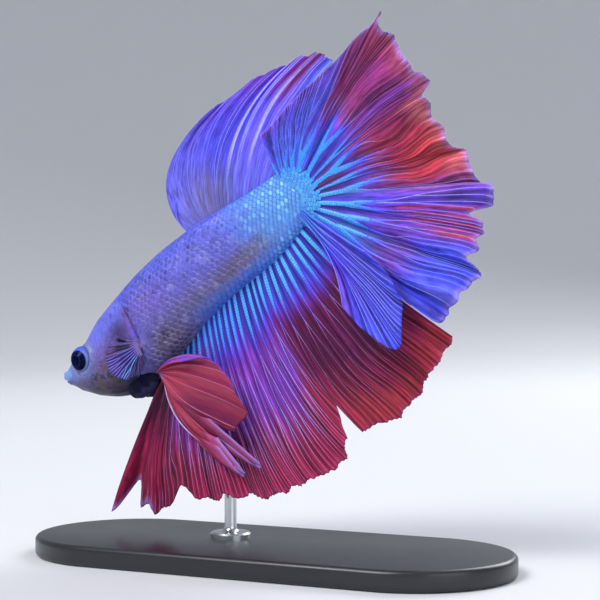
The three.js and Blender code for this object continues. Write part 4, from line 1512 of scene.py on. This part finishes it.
# %% [markdown]
# The tail is coloured by the angle of a ray as well as by the reach: blue above and below, crimson and
# coral in the middle. A dark wine line on the web and the rays is painted shadow, where the upper part
# of the fan folds over the violet band below it. Narrow flames of orange lick in from the edge of the
# lower part. Each is a row of its angle, its width and how far out it starts.

# %% Colours of the tail
FLAMES = (
    (-39.6, 0.6, 0.42),
    (-41.6, 0.5, 0.5),
    (-43.8, 0.8, 0.5),
    (-46, 0.5, 0.6),
    (-48, 1.0, 0.62),
)


def caudal_web(place, k, reach):
    t = streaked(k, reach, 0.22, 40)
    angle = first_column(CAUDAL_ROWS, place)
    upper, below = ease(-32, -26, angle + 8 * (t - 0.6)), ease(-37.5, -40, angle)
    rose = upper * ease(0.42, 0.66, t) * (1 - ease(28, 33, angle))
    blue = ease(-49, -53, angle)
    flames = [
        (ORANGE_RED * 0.85, 0.9 * bump(angle - at - 2.5 * (t - 0.7), width) * ease(out, out + 0.2, t))
        for at, width, out in FLAMES
    ]
    colour = coats(
        filled(BLUE_VIOLET * 0.8, k),
        (paint(84, 122, 248), 0.75 * ease(22, 34, angle)),
        (RUSSET, 0.85 * bump(angle + 12, 17) * ease(0.02, 0.1, t) * (1 - ease(0.24, 0.4, t))),
        (VIOLET * 0.95, ease(0.22, 0.45, t) * 0.85),
        (paint(92, 106, 250), 0.75 * ease(33, 38, angle) * bump(t - 0.4, 0.42)),
        (MAUVE * 0.85, 0.55 * bump(angle + 20, 9) * bump(t - 0.46, 0.14)),
        (MAUVE * 0.85, upper * ease(0.32, 0.5, t) * (1 - 0.95 * ease(29, 35, angle))),
        (CRIMSON * 0.95, rose * (0.5 + 0.45 * ease(2, -8, angle))),
        (MAGENTA, 0.6 * bump(angle - 19, 8) * ease(0.5, 0.75, t)),
        (PURPLE * 0.9, 0.8 * bump(angle - 5, 3) * ease(0.4, 0.65, t)),
        (paint(84, 30, 112), 0.75 * bump(angle - 9, 2.6) * bump(t - 0.68, 0.16)),
        (CRIMSON * 1.15, 0.85 * bump(angle - 32, 3) * ease(0.58, 0.76, t)),
        (CORAL, 0.5 * bump(angle - 24, 12) * ease(0.78, 0.94, t)),
        (paint(160, 96, 170), 0.6 * bump(angle - 28.8, 2.6) * ease(0.62, 0.8, t)),
        (PURPLE, 0.5 * ease(40, 50, angle) * ease(0.8, 1, t)),
        (ORANGE_RED, 0.9 * bump(angle + 20, 8) * ease(0.54, 0.8, t)),
        (paint(220, 124, 132), 0.75 * bump(angle + 10, 22) * ease(0.84, 0.98, t)),
        # Painted shadow of the fold where the upper fan lies over the violet band.
        (WINE * 0.7, 0.95 * bump(angle + 29.5, 1.8) * bump(t - 0.55, 0.24)),
        (VIOLET, bump(angle + 34.5, 3.4) * ease(0.36, 0.5, t)),
        (MAUVE, 0.75 * bump(angle + 31.4, 3) * bump(t - 0.7, 0.24)),
        (PURPLE * 0.85, below * 0.75 * bump(t - 0.62, 0.26)),
        *flames,
        (TURQUOISE * 0.7, blue * 0.5 * bump(t - 0.34, 0.18)),
        (MAGENTA, blue * 0.35 * bump(t - 0.52, 0.1)),
        (BLUE_VIOLET, blue * ease(0.54, 0.74, t)),
        (LILAC, 0.6 * ease(0.955, 1.0, reach)),
    )
    return lined(colour, k, reach, 44)


def caudal_ray(place, k, reach):
    t = streaked(k, reach, 0.18, 42)
    angle = first_column(CAUDAL_ROWS, place)
    upper = ease(-31, -27, angle) * ease(0.45, 0.66, t) * (1 - 0.9 * ease(28, 35, angle))
    return coats(
        filled(TURQUOISE * 1.05, k),
        (CYAN, 0.4 * bump(angle + 40, 26) * (1 - ease(0.15, 0.4, reach))),
        (BLUE_VIOLET * 1.15, ease(0.3, 0.46, t)),
        (LILAC * 0.9, ease(0.42, 0.6, t) * 0.9),
        (ROSE * 0.62, upper),
        (CORAL, upper * bump(angle + 20, 9) * 0.7),
        # The same painted fold shadow on the rays.
        (WINE * 1.2, 0.8 * bump(angle + 29.5, 1.8) * bump(t - 0.55, 0.24)),
        (TURQUOISE, 0.7 * ease(30, 36, angle) * (1 - ease(0.7, 0.95, t))),
        (paint(116, 138, 255), ease(-48, -54, angle) * ease(0.45, 0.7, t)),
        (PALE_LILAC, 0.4 * bump(angle + 34.5, 3.4) * ease(0.4, 0.6, t)),
        (caudal_web(place, k, reach) * 1.25, 0.35 * ease(0.45, 0.7, reach)),
    )


def lobe_web(place, k, reach):
    t = streaked(k, reach, 0.2, 50)
    colour = coats(
        filled(BLUE_VIOLET * 0.65, k),
        (VIOLET * 0.85, 0.6 * bump(t - 0.5, 0.25)),
        (BLUE_VIOLET * 0.95, ease(0.6, 0.95, t)),
        (PURPLE * 1.1, 0.6 * ease(6.6, 8, place) * ease(0.35, 0.8, reach)),
    )
    return lined(colour, k, reach, 52)


def lobe_ray(place, k, reach):
    colour = filled(TURQUOISE * 0.9, k)
    colour = wash(colour, paint(92, 106, 255), ease(0.12, 0.36, reach))
    return wash(colour, paint(130, 142, 255), 0.7 * ease(0.4, 0.7, reach))


print("half way out in the tail:", np.round(caudal_web(*sample)[0], 3))

# %% [markdown]
# The dorsal fin is blue-violet, with one pale line along the fold of each ray, brighter on some than
# on others.

# %% Colours of the dorsal fin


def dorsal_web(place, k, reach):
    t = streaked(k, reach, 0.2, 60)
    colour = coats(
        filled(PERIWINKLE * 0.7, k),
        (BLUE_VIOLET * 0.9, ease(0.1, 0.35, t)),
        (TAN * 0.8, 0.6 * bump(place - 3.2, 1.9) * (1 - ease(0.1, 0.5, t))),
        (LAVENDER * 0.9, 0.45 * (1 - ease(2.0, 3.4, place))),
        (VIOLET, ease(0.4, 0.75, t) * ease(0.5, 2.5, place) * 0.6),
        (PURPLE * 1.1, 0.9 * bump(place - 3.2, 1.6) * ease(0.7, 0.95, t)),
        (paint(112, 98, 255) * 1.15, 0.9 * ease(4.4, 5.6, place) * bump(t - 0.45, 0.4)),
        (HAZE_BLUE * 0.9, 0.6 * ease(6.4, 7.4, place) * ease(0.2, 0.5, t)),
        (MAGENTA * 1.2, 0.9 * bump(place - 5.6, 0.4) * ease(0.66, 0.84, t)),
        (ROSE * 0.7, 0.85 * bump(place - 6.1, 0.3) * ease(0.5, 0.75, t)),
    )
    fold_line = bump(np.mod(k + 0.5, 1) - 0.5, 0.1) * ease(3.6, 4.8, place)
    fold_line *= 1.4 * ease(0.3, 0.9, ray_chance(k, 19))
    fold_line *= ease(0.15, 0.35, reach) * (1 - 0.6 * ease(0.75, 0.95, reach))
    colour = wash(colour, PALE_LILAC, 0.5 * fold_line)
    return lined(colour, k, reach, 64, 0.14)


def dorsal_ray(place, k, reach):
    colour = filled(HAZE_BLUE * 0.9, k)
    colour = wash(colour, paint(134, 132, 255), ease(0.08, 0.3, reach))
    shown = 0.35 + 0.65 * ray_chance(k, 23)
    return wash(colour, PALE_LILAC, shown * ease(0.15, 0.4, reach) * ease(3.2, 4.8, place))


print("half way up the back fin:", np.round(dorsal_web(*sample)[0], 3))

# %% [markdown]
# The pelvic fins are crimson, with a violet upper margin and pale tips, and each pleat is painted
# darker just past its ray as shade and lighter towards the next ray as painted light. The pectoral fins
# are inky blue with lilac rays, one cyan ray, and two short black streaks near the top.

# %% Colours of the paired fins


def pelvic_web(place, k, reach):
    t = streaked(k, reach, 0.1, 70)
    colour = coats(
        filled(paint(168, 54, 84), k),
        # Painted shade just past each ray, and painted light on the far slope of each pleat.
        (WINE * 1.2, 0.6 * bump(np.mod(k, 1) - 0.2, 0.2) * ease(0.12, 0.4, t)),
        (paint(190, 84, 110), 0.5 * bump(np.mod(k, 1) - 0.75, 0.2) * ease(0.12, 0.4, t)),
        (WINE * 1.1, 0.85 * bump(place - 5.8, 0.9) * ease(0.25, 0.5, t)),
        (HAZE_BLUE * 0.6, 0.4 * (1 - ease(0.02, 0.12, t))),
        (paint(128, 84, 214), 0.8 * ease(8.4, 9.4, place) * ease(0.12, 0.3, t)),
        (VIOLET, 0.55 * ease(7.4, 8.4, place) * ease(0.93, 1, reach)),
        (ROSE, 0.7 * (1 - ease(5.0, 5.4, place)) * ease(0.78, 0.9, reach)),
        (LILAC, 0.6 * (1 - ease(5.0, 5.4, place)) * ease(0.93, 0.99, reach)),
    )
    return colour


def pelvic_ray(place, k, reach):
    colour = coats(
        filled(paint(186, 72, 100), k),
        (ROSE * 1.05, 0.75 * ease(0.3, 0.6, reach)),
        (paint(188, 176, 232), (1 - ease(0.3, 0.6, place)) * (1 - ease(0.55, 0.8, reach))),
        (LILAC, (1 - ease(5.0, 5.4, place)) * ease(0.9, 0.98, reach)),
    )
    return colour


def fin_streak(place, reach):
    """Two short black streaks on the upper part of the pectoral fin."""
    first = bump(place - 0.2, 0.22) * ease(0.35, 0.5, reach) * (1 - ease(0.75, 0.95, reach))
    second = bump(place - 1.15, 0.36) * ease(0.18, 0.3, reach) * (1 - ease(0.6, 0.85, reach))
    return np.clip(1.2 * (first + second), 0, 1)


def pectoral_web(place, k, reach):
    upper = 1 - ease(1.5, 2.3, place)
    colour = coats(
        filled(paint(46, 40, 112), k),
        (paint(78, 66, 150), 0.6 * ease(0.4, 0.9, reach)),
        (paint(98, 80, 152), upper * 0.95),
        (paint(82, 50, 96), 0.6 * bump(place - 1.2, 0.5) * ease(0.4, 0.7, reach)),
        (INK * 0.5, fin_streak(place, reach)),
        (INK * 0.7, 0.7 * ease(4.8, 5.3, place)),
    )
    return wash(colour, paint(142, 120, 188), 0.9 * (1 - ease(0.02, 0.2, reach)))


def pectoral_ray(place, k, reach):
    colour = coats(
        filled(paint(112, 98, 220), k),
        (paint(104, 86, 160), 0.95 * (1 - ease(1.5, 2.3, place))),
        (INK * 0.5, 0.9 * fin_streak(place, reach)),
        (LILAC, 0.5 * ease(0.4, 0.9, reach) * ease(1.5, 2.3, place)),
        (INK * 1.6, 0.8 * ease(4.9, 5.3, place)),
        (CYAN, bump(place - 4.55, 0.3) * ease(0.1, 0.3, reach)),
    )
    return wash(colour, paint(142, 120, 188), 0.9 * (1 - ease(0.02, 0.2, reach)))


print("half way out in a pelvic fin:", np.round(pelvic_web(*sample)[0], 3))

# %% [markdown]
# The web of a fin is a grid primitive laid over the fan, with many points to each ray so that the
# pleats are round, and a Solidify modifier gives it two sides. Its UV map counts rays across and reach
# along. The valleys between the rays are painted darker as shade, and the crests a little lighter as
# painted light: between the broad rays near the root and between the fine forks near the edge. A
# setting given with each web says how dark this painted shade is.

# %% Making a web
WEB_THICKNESS, WEB_TONE = 0.14, 0.96


def build_web(
    name, rays, colours, per_ray, rows, thickness=WEB_THICKNESS, valley_shade=1.0, finish=web_finish
):
    web, across, reach = new_grid(name, (rays.count - 1) * per_ray, rows)
    k = across * (rays.count - 1)
    place = rays.place(k)
    painted = colours(place, k, reach)
    # Painted shade in the valleys between the rays and between the fine forks, and painted light on the
    # crests.
    valley = 0.5 - 0.5 * np.cos(2 * np.pi * k)
    near_root = 1 - ease(0.2, 0.45, reach)
    between = np.sin(np.pi * rays.fine * (k - 0.5 / rays.fine)) ** 2
    shade = 1.08 - 0.16 * valley - 0.4 * valley**3 * near_root * valley_shade
    shade = shade - 0.42 * between * ease(0.3, 0.55, reach) * valley_shade
    painted = painted * WEB_TONE * shade[:, None]
    place_points(web, rays.point(k, reach * rays.edge(k)))
    tint(web, painted)
    web.data.uv_layers[0].name = "web"
    lay_uv(web, "web", np.stack([k, reach * 8], axis=1))
    apply(web, "SOLIDIFY", thickness=thickness * MM, offset=0.0)
    return smooth(web, finish)


print("webs are", WEB_THICKNESS, "mm thick")

# %% [markdown]
# A ray is a flat ribbon of little bony joints that forks towards the edge. Each fork is a narrower
# ribbon that starts on its parent. A ribbon lies on the pleats of the web and is thicker than the
# web, so it shows on both faces. It fills a share of the room between two rays, and `narrows` says
# over which part of its length it becomes fine. All ribbons of a fin are joined to one mesh.

# %% The ribbons of a ray
RIBBON_SIDES = 6
RIBBON_RISE = (0.1, 0.15)
WIDEST_HALF = 0.5
OVER_EDGE = 1.003
BESIDE = 0.06
RAY_TONE = 0.88


def fork_paths(forks):
    """Each ribbon of a ray: which way it leans at every fork, and where it leaves its parent."""
    paths = [((), 0.0)]
    for start in forks:
        grown = []
        for leans, leave in paths:
            grown.append((leans + (1,), leave))
            grown.append((leans + (-1,), start))
        paths = grown
    return paths


def forked(ray, leans, rays, reach):
    """The ray's number, leaning to either side after each fork, and how many share its room."""
    k, branches = np.full(len(reach), float(ray)), np.ones(len(reach))
    spread = rays.spread
    for start, lean in zip(rays.forks, leans):
        late = start + 0.06 * (hashed(np.array([[ray, start, lean]]), 5)[0] - 0.5)
        opened = 1 - (1 - np.clip((reach - late) / 0.3, 0, 1)) ** 2
        k = k + lean * spread * opened
        branches = branches * (1 + opened)
        spread /= 2
    return k, branches


print("ribbons of a ray that forks twice:", len(fork_paths((0.3, 0.6))))

# %% [markdown]
# Along each ribbon a ring of six points is laid round every sample of its middle line. The two side
# points lie on the pleats of the web, and the others stand off both faces. The rings are joined to
# closed tubes.

# %% Making the rays


def ribbon_point(rays, k, reach, beside, spacing):
    """A place on the web, carried on past the first and the last ray."""
    inside = np.clip(k, 0.0, rays.count - 1.0)
    return rays.point(inside, reach) + beside * ((k - inside) * spacing)[:, None]


def unit(vectors):
    """Vectors made one long, and how long they were."""
    length = np.maximum(np.linalg.norm(vectors, axis=1), 1e-9)
    return vectors / length[:, None], length


def ribbon_rings(rays, k, reach, branches, share, fine, narrows):
    """The rings of points round one ribbon, and how far along the ribbon each ring is."""
    reached = reach * rays.edge(k) * OVER_EDGE
    middle = rays.point(k, reached)
    ahead, _ = unit(np.gradient(middle, axis=0))
    more, less = np.minimum(k + BESIDE, rays.count - 1), np.maximum(k - BESIDE, 0)
    beside = rays.point(more, reached) - rays.point(less, reached)
    beside, spacing = unit(beside - ahead * (beside * ahead).sum(axis=1)[:, None])
    spacing /= more - less
    out = np.cross(beside, ahead)
    full = share(rays.place(k)) * spacing / 2 / branches
    half = np.clip(full + (fine - full) * ease(*narrows, reach), fine, WIDEST_HALF)
    half = half * (1 - 0.4 * ease(0.9, 1, reach))
    thick = np.clip(half * 0.7, *RIBBON_RISE)
    ring = np.empty((len(k), RIBBON_SIDES, 3))
    for side, angle in enumerate(2 * np.pi * np.arange(RIBBON_SIDES) / RIBBON_SIDES):
        beyond = k + np.minimum(half / spacing, 0.42 / branches) * math.cos(angle)
        ring[:, side] = ribbon_point(rays, beyond, reached, beside, spacing)
        ring[:, side] += out * (thick * math.sin(angle))[:, None]
    return ring, np.concatenate([[0], np.cumsum(np.linalg.norm(np.diff(middle, axis=0), axis=1))])


def tube_faces(samples, sides, first):
    """The faces of a closed tube of rings whose points start at a number."""
    i, j = np.meshgrid(np.arange(samples - 1), np.arange(sides), indexing="ij")
    a = first + i * sides + j
    b = first + i * sides + (j + 1) % sides
    faces = np.stack([a, b, b + sides, a + sides], axis=-1).reshape(-1, 4).tolist()
    faces.append(list(range(first + sides - 1, first - 1, -1)))
    faces.append(list(range(first + (samples - 1) * sides, first + samples * sides)))
    return faces


def build_rays(name, rays, colours, share, fine, banded=1.0, steps=64, narrows=(0.2, 0.6)):
    paths, unforked = fork_paths(rays.forks), [((), 0.0)]
    points, tints, faces, joints = [], [], [], []
    count = 0
    for ray in range(rays.count):
        at_edge = ray in (0, rays.count - 1)
        for leans, leave in unforked if at_edge else paths:
            samples = max(int(steps * (1 - leave)), 8)
            reach = np.linspace(leave, 0.997, samples)
            k, branches = forked(ray, leans, rays, reach)
            ring, walked = ribbon_rings(rays, k, reach, branches, share, fine, narrows)
            strength = banded * (1 - ease(0.22, 0.5, reach))
            points.append(ring.reshape(-1, 3))
            tints.append(np.repeat(colours(rays.place(k), k, reach), RIBBON_SIDES, axis=0))
            joints.append(np.repeat(np.stack([strength, walked], axis=1), RIBBON_SIDES, axis=0))
            faces.extend(tube_faces(samples, RIBBON_SIDES, count))
            count += samples * RIBBON_SIDES
    piece = from_points(name, np.concatenate(points), faces)
    tint(piece, np.concatenate(tints) * RAY_TONE)
    lay_uv(piece, "joints", np.concatenate(joints))
    face_outwards(piece)
    return smooth(piece, ray_finish)


# %% [markdown]
# Now the middle fins are dressed, each with its web and then its rays. The share is how much of its
# room a ray fills: more than half under the body and in the tail, and hardly any on the back, where
# the rays show only as pale folds.

# %% Dress the middle fins


def even_share(part):
    return lambda place: np.full(len(place), part)


def caudal_share(place):
    """The lower rays fill more of their room than the upper ones."""
    angle = first_column(CAUDAL_ROWS, place)
    return 0.56 + 0.24 * ease(12, -30, angle)


def dress_fin(fin, rays, colours, slot, node, web, rods, side=""):
    """Builds a fin's web, which stands for its solid, and its rays."""
    web_colours, ray_colours = colours
    ready(build_web(f"{fin}_web{side}", rays, web_colours, **web), slot, node + side)
    ready(build_rays(f"{fin}_ray_rods{side}", rays, ray_colours, **rods), slot)


dress_fin(
    "anal", anal_rays, (anal_web, anal_ray), "lower_fins", "anal_fin",
    web=dict(per_ray=16, rows=70),
    rods=dict(share=even_share(0.6), fine=0.085, narrows=(0.06, 0.34)),
)
dress_fin(
    "caudal", caudal_rays, (caudal_web, caudal_ray), "upper_fins", "caudal_fin",
    web=dict(per_ray=32, rows=70),
    rods=dict(share=caudal_share, fine=0.09),
)
dress_fin(
    "lobe", lobe_rays, (lobe_web, lobe_ray), "upper_fins", "caudal_lower_lobe",
    web=dict(per_ray=24, rows=56),
    rods=dict(share=even_share(0.6), fine=0.08),
)
dress_fin(
    "dorsal", dorsal_rays, (dorsal_web, dorsal_ray), "upper_fins", "dorsal_fin",
    web=dict(per_ray=20, rows=60, valley_shade=0.2),
    rods=dict(share=even_share(0.05), fine=0.07, banded=0.2),
)

# %% [markdown]
# The scales of the tail stalk run on over the root of the tail fin, ever smaller, and the last ones
# sit only on the rays. They use the same shield as the body's scales. The first row lies high, so
# that it comes out from under the coat of the stalk, and the later ones sink towards the web.

# %% Scales on the root of the tail
FAN_ROWS, FULL_ROWS = 7, 5
FAN_TOP_ANGLE, FAN_SWEEP = 70, 136


def fan_seats():
    """Each scale's root: its angle, its distance from the fan's middle, and its size."""
    ray_angle = first_column(CAUDAL_ROWS, caudal_rays.places)
    seats = []
    for row in range(FAN_ROWS):
        radius, pitch = 2.3 + 0.4 * row, 0.66 - 0.03 * row
        number = int(radius * math.radians(FAN_SWEEP) / pitch)
        for step in range(number):
            angle = FAN_TOP_ANGLE - FAN_SWEEP * (step + 0.5 * (row % 2)) / number
            off_ray = np.abs(ray_angle - angle).min() * math.radians(radius)
            if row < FULL_ROWS or off_ray < 0.26:
                seats.append((math.radians(angle), radius, pitch))
    return np.array(seats)


def build_fan_scales(name, left):
    root_angle, radius, pitch = fan_seats().T
    count, u = len(root_angle), SHIELD_ALONG
    per = len(u)
    chance = [hashed(np.stack([root_angle, radius, pitch], axis=1), seed) - 0.5 for seed in (13, 14)]
    half = 0.62 * pitch * (1 + 0.1 * chance[0])
    away = radius[:, None] + 1.5 * pitch[:, None] * (u - SHIELD_HIDDEN)[None]
    angle = root_angle[:, None] + half[:, None] * SHIELD_SPREAD[None] / away
    lift = 0.3 - 0.05 * ease(2.4, 4.2, away) - 0.07 * ease(4.0, 5.6, away)
    lift = lift + (0.04 * u)[None]
    side = -1 if left else 1
    top = np.stack([
        FAN_MIDDLE[0] + away * np.cos(angle),
        -0.5 + side * lift,
        FAN_MIDDLE[1] + away * np.sin(angle),
    ], axis=-1)
    under = top - np.array([0, side * 0.03, 0])
    rim = shield_rim(count)
    outer = np.repeat(ease(2.8, 4.6, radius), per)
    colour = wash(filled(paint(78, 150, 250) * 0.8, rim), TURQUOISE * 0.9, outer)
    colour = wash(colour, CYAN * 0.9, 0.45 * (1 - rim) * np.repeat(0.7 + chance[1], per))
    colour = wash(colour, TURQUOISE * 0.4, 0.5 * rim).reshape(count, per, 3)
    turn = 0.25 - root_angle / 6
    uv = bake_patch(np.full(count, BODY_LENGTH - 0.1), turn if left else 1 - turn)
    return join_scales(name, top, under, colour, uv, left)


ready(build_fan_scales("fan_scales_left", True), "skin")
ready(build_fan_scales("fan_scales_right", False), "skin")

# %% [markdown]
# The paired fins are made in the same way. A pelvic fin is soft and fleshy, so its web has the quieter
# finish, lighter painted shade in its valleys and hardly any rods. A pectoral fin is thin and small.
# Neither shows bands on its rays.

# %% Dress the paired fins
for side in ("left", "right"):
    dress_fin(
        "pelvic", pelvic_rays[side], (pelvic_web, pelvic_ray), "lower_fins", "pelvic_fin",
        web=dict(per_ray=12, rows=56, valley_shade=0.4, finish=soft_web_finish),
        rods=dict(share=even_share(0.12), fine=0.12, banded=0.0),
        side=f"_{side}",
    )
    dress_fin(
        "pectoral", pectoral_rays[side], (pectoral_web, pectoral_ray), "pectoral_fins", "pectoral_fin",
        web=dict(per_ray=10, rows=30, thickness=0.08, valley_shade=0.3),
        rods=dict(share=even_share(0.5), fine=0.06, banded=0.0, steps=30),
        side=f"_{side}",
    )

# %% [markdown]
# The stand is a flat base with round ends and one turned rod. The base is satin black acrylic and
# the rod is polished steel. Both have the same kind of finish, a tone and a gloss that vary a little
# with one noise, which is drawn out along the rod as fine lines are by polishing.

# %% The stand's materials


def stand_material(name, colour, metallic, rough, streak):
    """A hard finish whose tone and gloss vary a little, drawn out by the streak."""
    material, tree, principled = new_material(name, Metallic=metallic)
    place = add_node(tree, "TexCoord").outputs["Object"]
    mapping = add_node(tree, "Mapping", Vector=place, Scale=streak)
    where = mapping.outputs["Vector"]
    noise = add_node(tree, "TexNoise", Vector=where, Scale=60, Detail=4).outputs["Fac"]
    tone = add_node(tree, "MapRange", Value=noise, **{"To Min": rough - 0.06, "To Max": rough + 0.08})
    tree.links.new(tone.outputs["Result"], principled.inputs["Roughness"])
    ramp = add_node(tree, "ValToRGB", Fac=noise)
    for element, factor in zip(ramp.color_ramp.elements, (0.85, 1.15)):
        element.color = (*(colour * factor), 1)
    tree.links.new(ramp.outputs["Color"], principled.inputs["Base Color"])
    return material


base_finish = stand_material("satin_black_acrylic", paint(34, 36, 40), 0.0, 0.3, (1, 1, 1))
rod_finish = stand_material("turned_steel", paint(196, 199, 204), 1.0, 0.24, (1, 1, 40))
print("stand materials:", base_finish.name, rod_finish.name)

# %% [markdown]
# The base starts as a filled circle as wide as its solid. Its two halves are moved apart to make the
# round ends, it is extruded upwards, and its top and bottom edges are bevelled.

# %% The base
base_low, base_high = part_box("stand_base")
BASE_BEVEL = 0.7 * MM


def build_base():
    radius = (base_high.y - base_low.y) / 2
    shift = (base_high.x - base_low.x) / 2 - radius
    deselect()
    bpy.ops.mesh.primitive_circle_add(vertices=96, radius=radius, fill_type="NGON")
    base = bpy.context.object
    base.name = base.data.name = "base"
    bpy.ops.object.mode_set(mode="EDIT")
    mesh = bmesh.from_edit_mesh(base.data)
    for sign in (1, -1):
        for vertex in mesh.verts:
            vertex.select = vertex.co.x * sign > 1e-6
        mesh.select_flush_mode()
        bmesh.update_edit_mesh(base.data)
        bpy.ops.transform.translate(value=(sign * shift, 0, 0))
    bpy.ops.mesh.select_all(action="SELECT")
    bpy.ops.mesh.extrude_region_move(TRANSFORM_OT_translate={"value": (0, 0, base_high.z - base_low.z)})
    face_outwards(base)
    sharp = math.radians(60)
    apply(base, "BEVEL", width=BASE_BEVEL, segments=4, limit_method="ANGLE", angle_limit=sharp)
    activate(base)
    bpy.ops.object.shade_smooth_by_angle(angle=math.radians(35))
    base.data.materials.append(base_finish)
    return base


base = build_base()
ready(base, "stand_base", "stand_base")

# %% [markdown]
# The rod is turned from one bar, with a stepped foot. A circle is extruded upwards and scaled at
# each step of the profile. It runs a little way into the body, so that the fish is held.

# %% The rod
rod_low, rod_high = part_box("stand_rod")
ROD_X, ROD_Y = -7 * MM, 2 * MM
ROD_RADIUS, INTO_BODY = 0.9, 0.7


def build_rod():
    """The turned profile is pairs of radius and height, in millimetres."""
    foot = [(3.0, 0.0), (3.0, 0.55), (2.8, 0.78), (2.3, 0.8), (1.5, 0.84), (1.15, 1.0), (0.95, 1.3)]
    top = (rod_high.z - rod_low.z) / MM + INTO_BODY
    steps = foot + [(ROD_RADIUS, height) for height in (1.6, 12.0, 24.0, 36.0, top)]
    deselect()
    bpy.ops.mesh.primitive_circle_add(
        vertices=40, radius=steps[0][0] * MM, fill_type="NGON", location=(ROD_X, ROD_Y, rod_low.z)
    )
    rod = bpy.context.object
    rod.name = rod.data.name = "rod"
    bpy.ops.object.transform_apply(location=True, rotation=True, scale=True)
    bpy.ops.object.mode_set(mode="EDIT")
    bpy.ops.mesh.select_all(action="SELECT")
    for (wide, low), (narrow, high) in zip(steps, steps[1:]):
        bpy.ops.mesh.extrude_region_move(TRANSFORM_OT_translate={"value": (0, 0, (high - low) * MM)})
        ratio = narrow / wide
        bpy.ops.transform.resize(
            value=(ratio, ratio, 1), center_override=(ROD_X, ROD_Y, rod_low.z + high * MM)
        )
    face_outwards(rod)
    bpy.ops.object.shade_smooth_by_angle(angle=math.radians(40))
    rod.data.materials.append(rod_finish)
    return rod


rod = build_rod()
ready(rod, "stand_rod", "stand_rod")
print("rod top, mm:", round(read_points(rod)[:, 2].max() / MM, 2))

# %% [markdown]
# The studio is a round pale floor that curves up far away, so there is no line between floor and
# wall behind the fish. A circle is extruded outwards and upwards in steps. It is stage, not part of
# the object.

# %% The floor
FLOOR_RADIUS, BEND_RADIUS, WALL_TOP, BEND_STEPS = 0.6, 1.2, 2.4, 16
floor_finish, _, _ = new_material(
    "pale_floor", **{"Base Color": (0.7, 0.71, 0.74, 1), "Roughness": 0.85, "Specular IOR Level": 0.2}
)


def build_floor():
    bend = []
    for angle in np.linspace(0, math.pi / 2, BEND_STEPS + 1):
        bend.append((FLOOR_RADIUS + BEND_RADIUS * math.sin(angle), BEND_RADIUS * (1 - math.cos(angle))))
    bend.append((FLOOR_RADIUS + BEND_RADIUS, WALL_TOP))
    deselect()
    bpy.ops.mesh.primitive_circle_add(vertices=96, radius=bend[0][0], fill_type="NGON")
    floor = bpy.context.object
    floor.name = floor.data.name = "floor"
    bpy.ops.object.mode_set(mode="EDIT")
    bpy.ops.mesh.select_mode(type="EDGE")
    bpy.ops.mesh.select_all(action="DESELECT")
    mesh = bmesh.from_edit_mesh(floor.data)
    for edge in mesh.edges:
        edge.select = True
    bmesh.update_edit_mesh(floor.data)
    for (wide, low), (wider, high) in zip(bend, bend[1:]):
        bpy.ops.mesh.extrude_edges_move(TRANSFORM_OT_translate={"value": (0, 0, high - low)})
        ratio = wider / wide
        bpy.ops.transform.resize(value=(ratio, ratio, 1), center_override=(0, 0, high))
    bpy.ops.object.mode_set(mode="OBJECT")
    return smooth(floor, floor_finish)


floor = build_floor()
print("floor faces:", len(floor.data.polygons))

# %% [markdown]
# Soft light from large areas: a broad key over the camera's left shoulder, a fill from the right, a
# light behind that catches the fins' edges, and a pale world that opens the shadows.

# %% Lights
LIT_POINT = np.array([0, 0, 0.04])


def area_light(name, place, size, power, colour=(1, 1, 1)):
    data = bpy.data.lights.new(name, "AREA")
    data.energy, data.size, data.color = power, size, colour
    lamp = bpy.data.objects.new(name, data)
    bpy.context.scene.collection.objects.link(lamp)
    lamp.location = place
    aim = LIT_POINT - np.array(place)
    yaw = math.atan2(aim[1], aim[0])
    tilt = math.acos(-aim[2] / np.linalg.norm(aim))
    lamp.rotation_euler = (tilt, 0, yaw - math.pi / 2)
    return lamp


area_light("key", (-0.2, -0.5, 0.6), 0.34, 4.8, (1.0, 0.99, 0.98))
area_light("fill", (0.6, -0.3, 0.25), 0.5, 1.2, (0.95, 0.97, 1.0))
area_light("behind", (0.15, 0.6, 0.45), 0.45, 3.4, (0.97, 0.98, 1.0))
world = bpy.data.worlds.new("studio")
world.use_nodes = True
sky = world.node_tree.nodes["Background"].inputs
sky["Color"].default_value = (0.9, 0.93, 1.0, 1)
sky["Strength"].default_value = 0.66
bpy.context.scene.world = world

# %% [markdown]
# The camera stands level with the fish, behind its left shoulder by 25 degrees, a little more than
# 20 cm away. It takes in the base below the fins.

# %% Camera
VIEW_AZIMUTH = math.radians(25)
VIEW_DISTANCE = 0.22
VIEW_WIDTH = 0.086
SENSOR = 36
aim_at = np.array([5.26, 0.0, 38.0]) * MM
camera_data = bpy.data.cameras.new("camera")
camera = bpy.data.objects.new("camera", camera_data)
bpy.context.scene.collection.objects.link(camera)
away = np.array([math.sin(VIEW_AZIMUTH), -math.cos(VIEW_AZIMUTH), 0.0])
camera.location = aim_at + away * VIEW_DISTANCE
camera.rotation_euler = (math.pi / 2, 0, VIEW_AZIMUTH)
camera_data.sensor_width = SENSOR
camera_data.lens = SENSOR * VIEW_DISTANCE / VIEW_WIDTH
camera_data.clip_start, camera_data.clip_end = 0.01, 20
bpy.context.scene.camera = camera
bpy.context.scene.view_settings.view_transform = "Standard"
print("lens, mm:", round(camera_data.lens, 1))
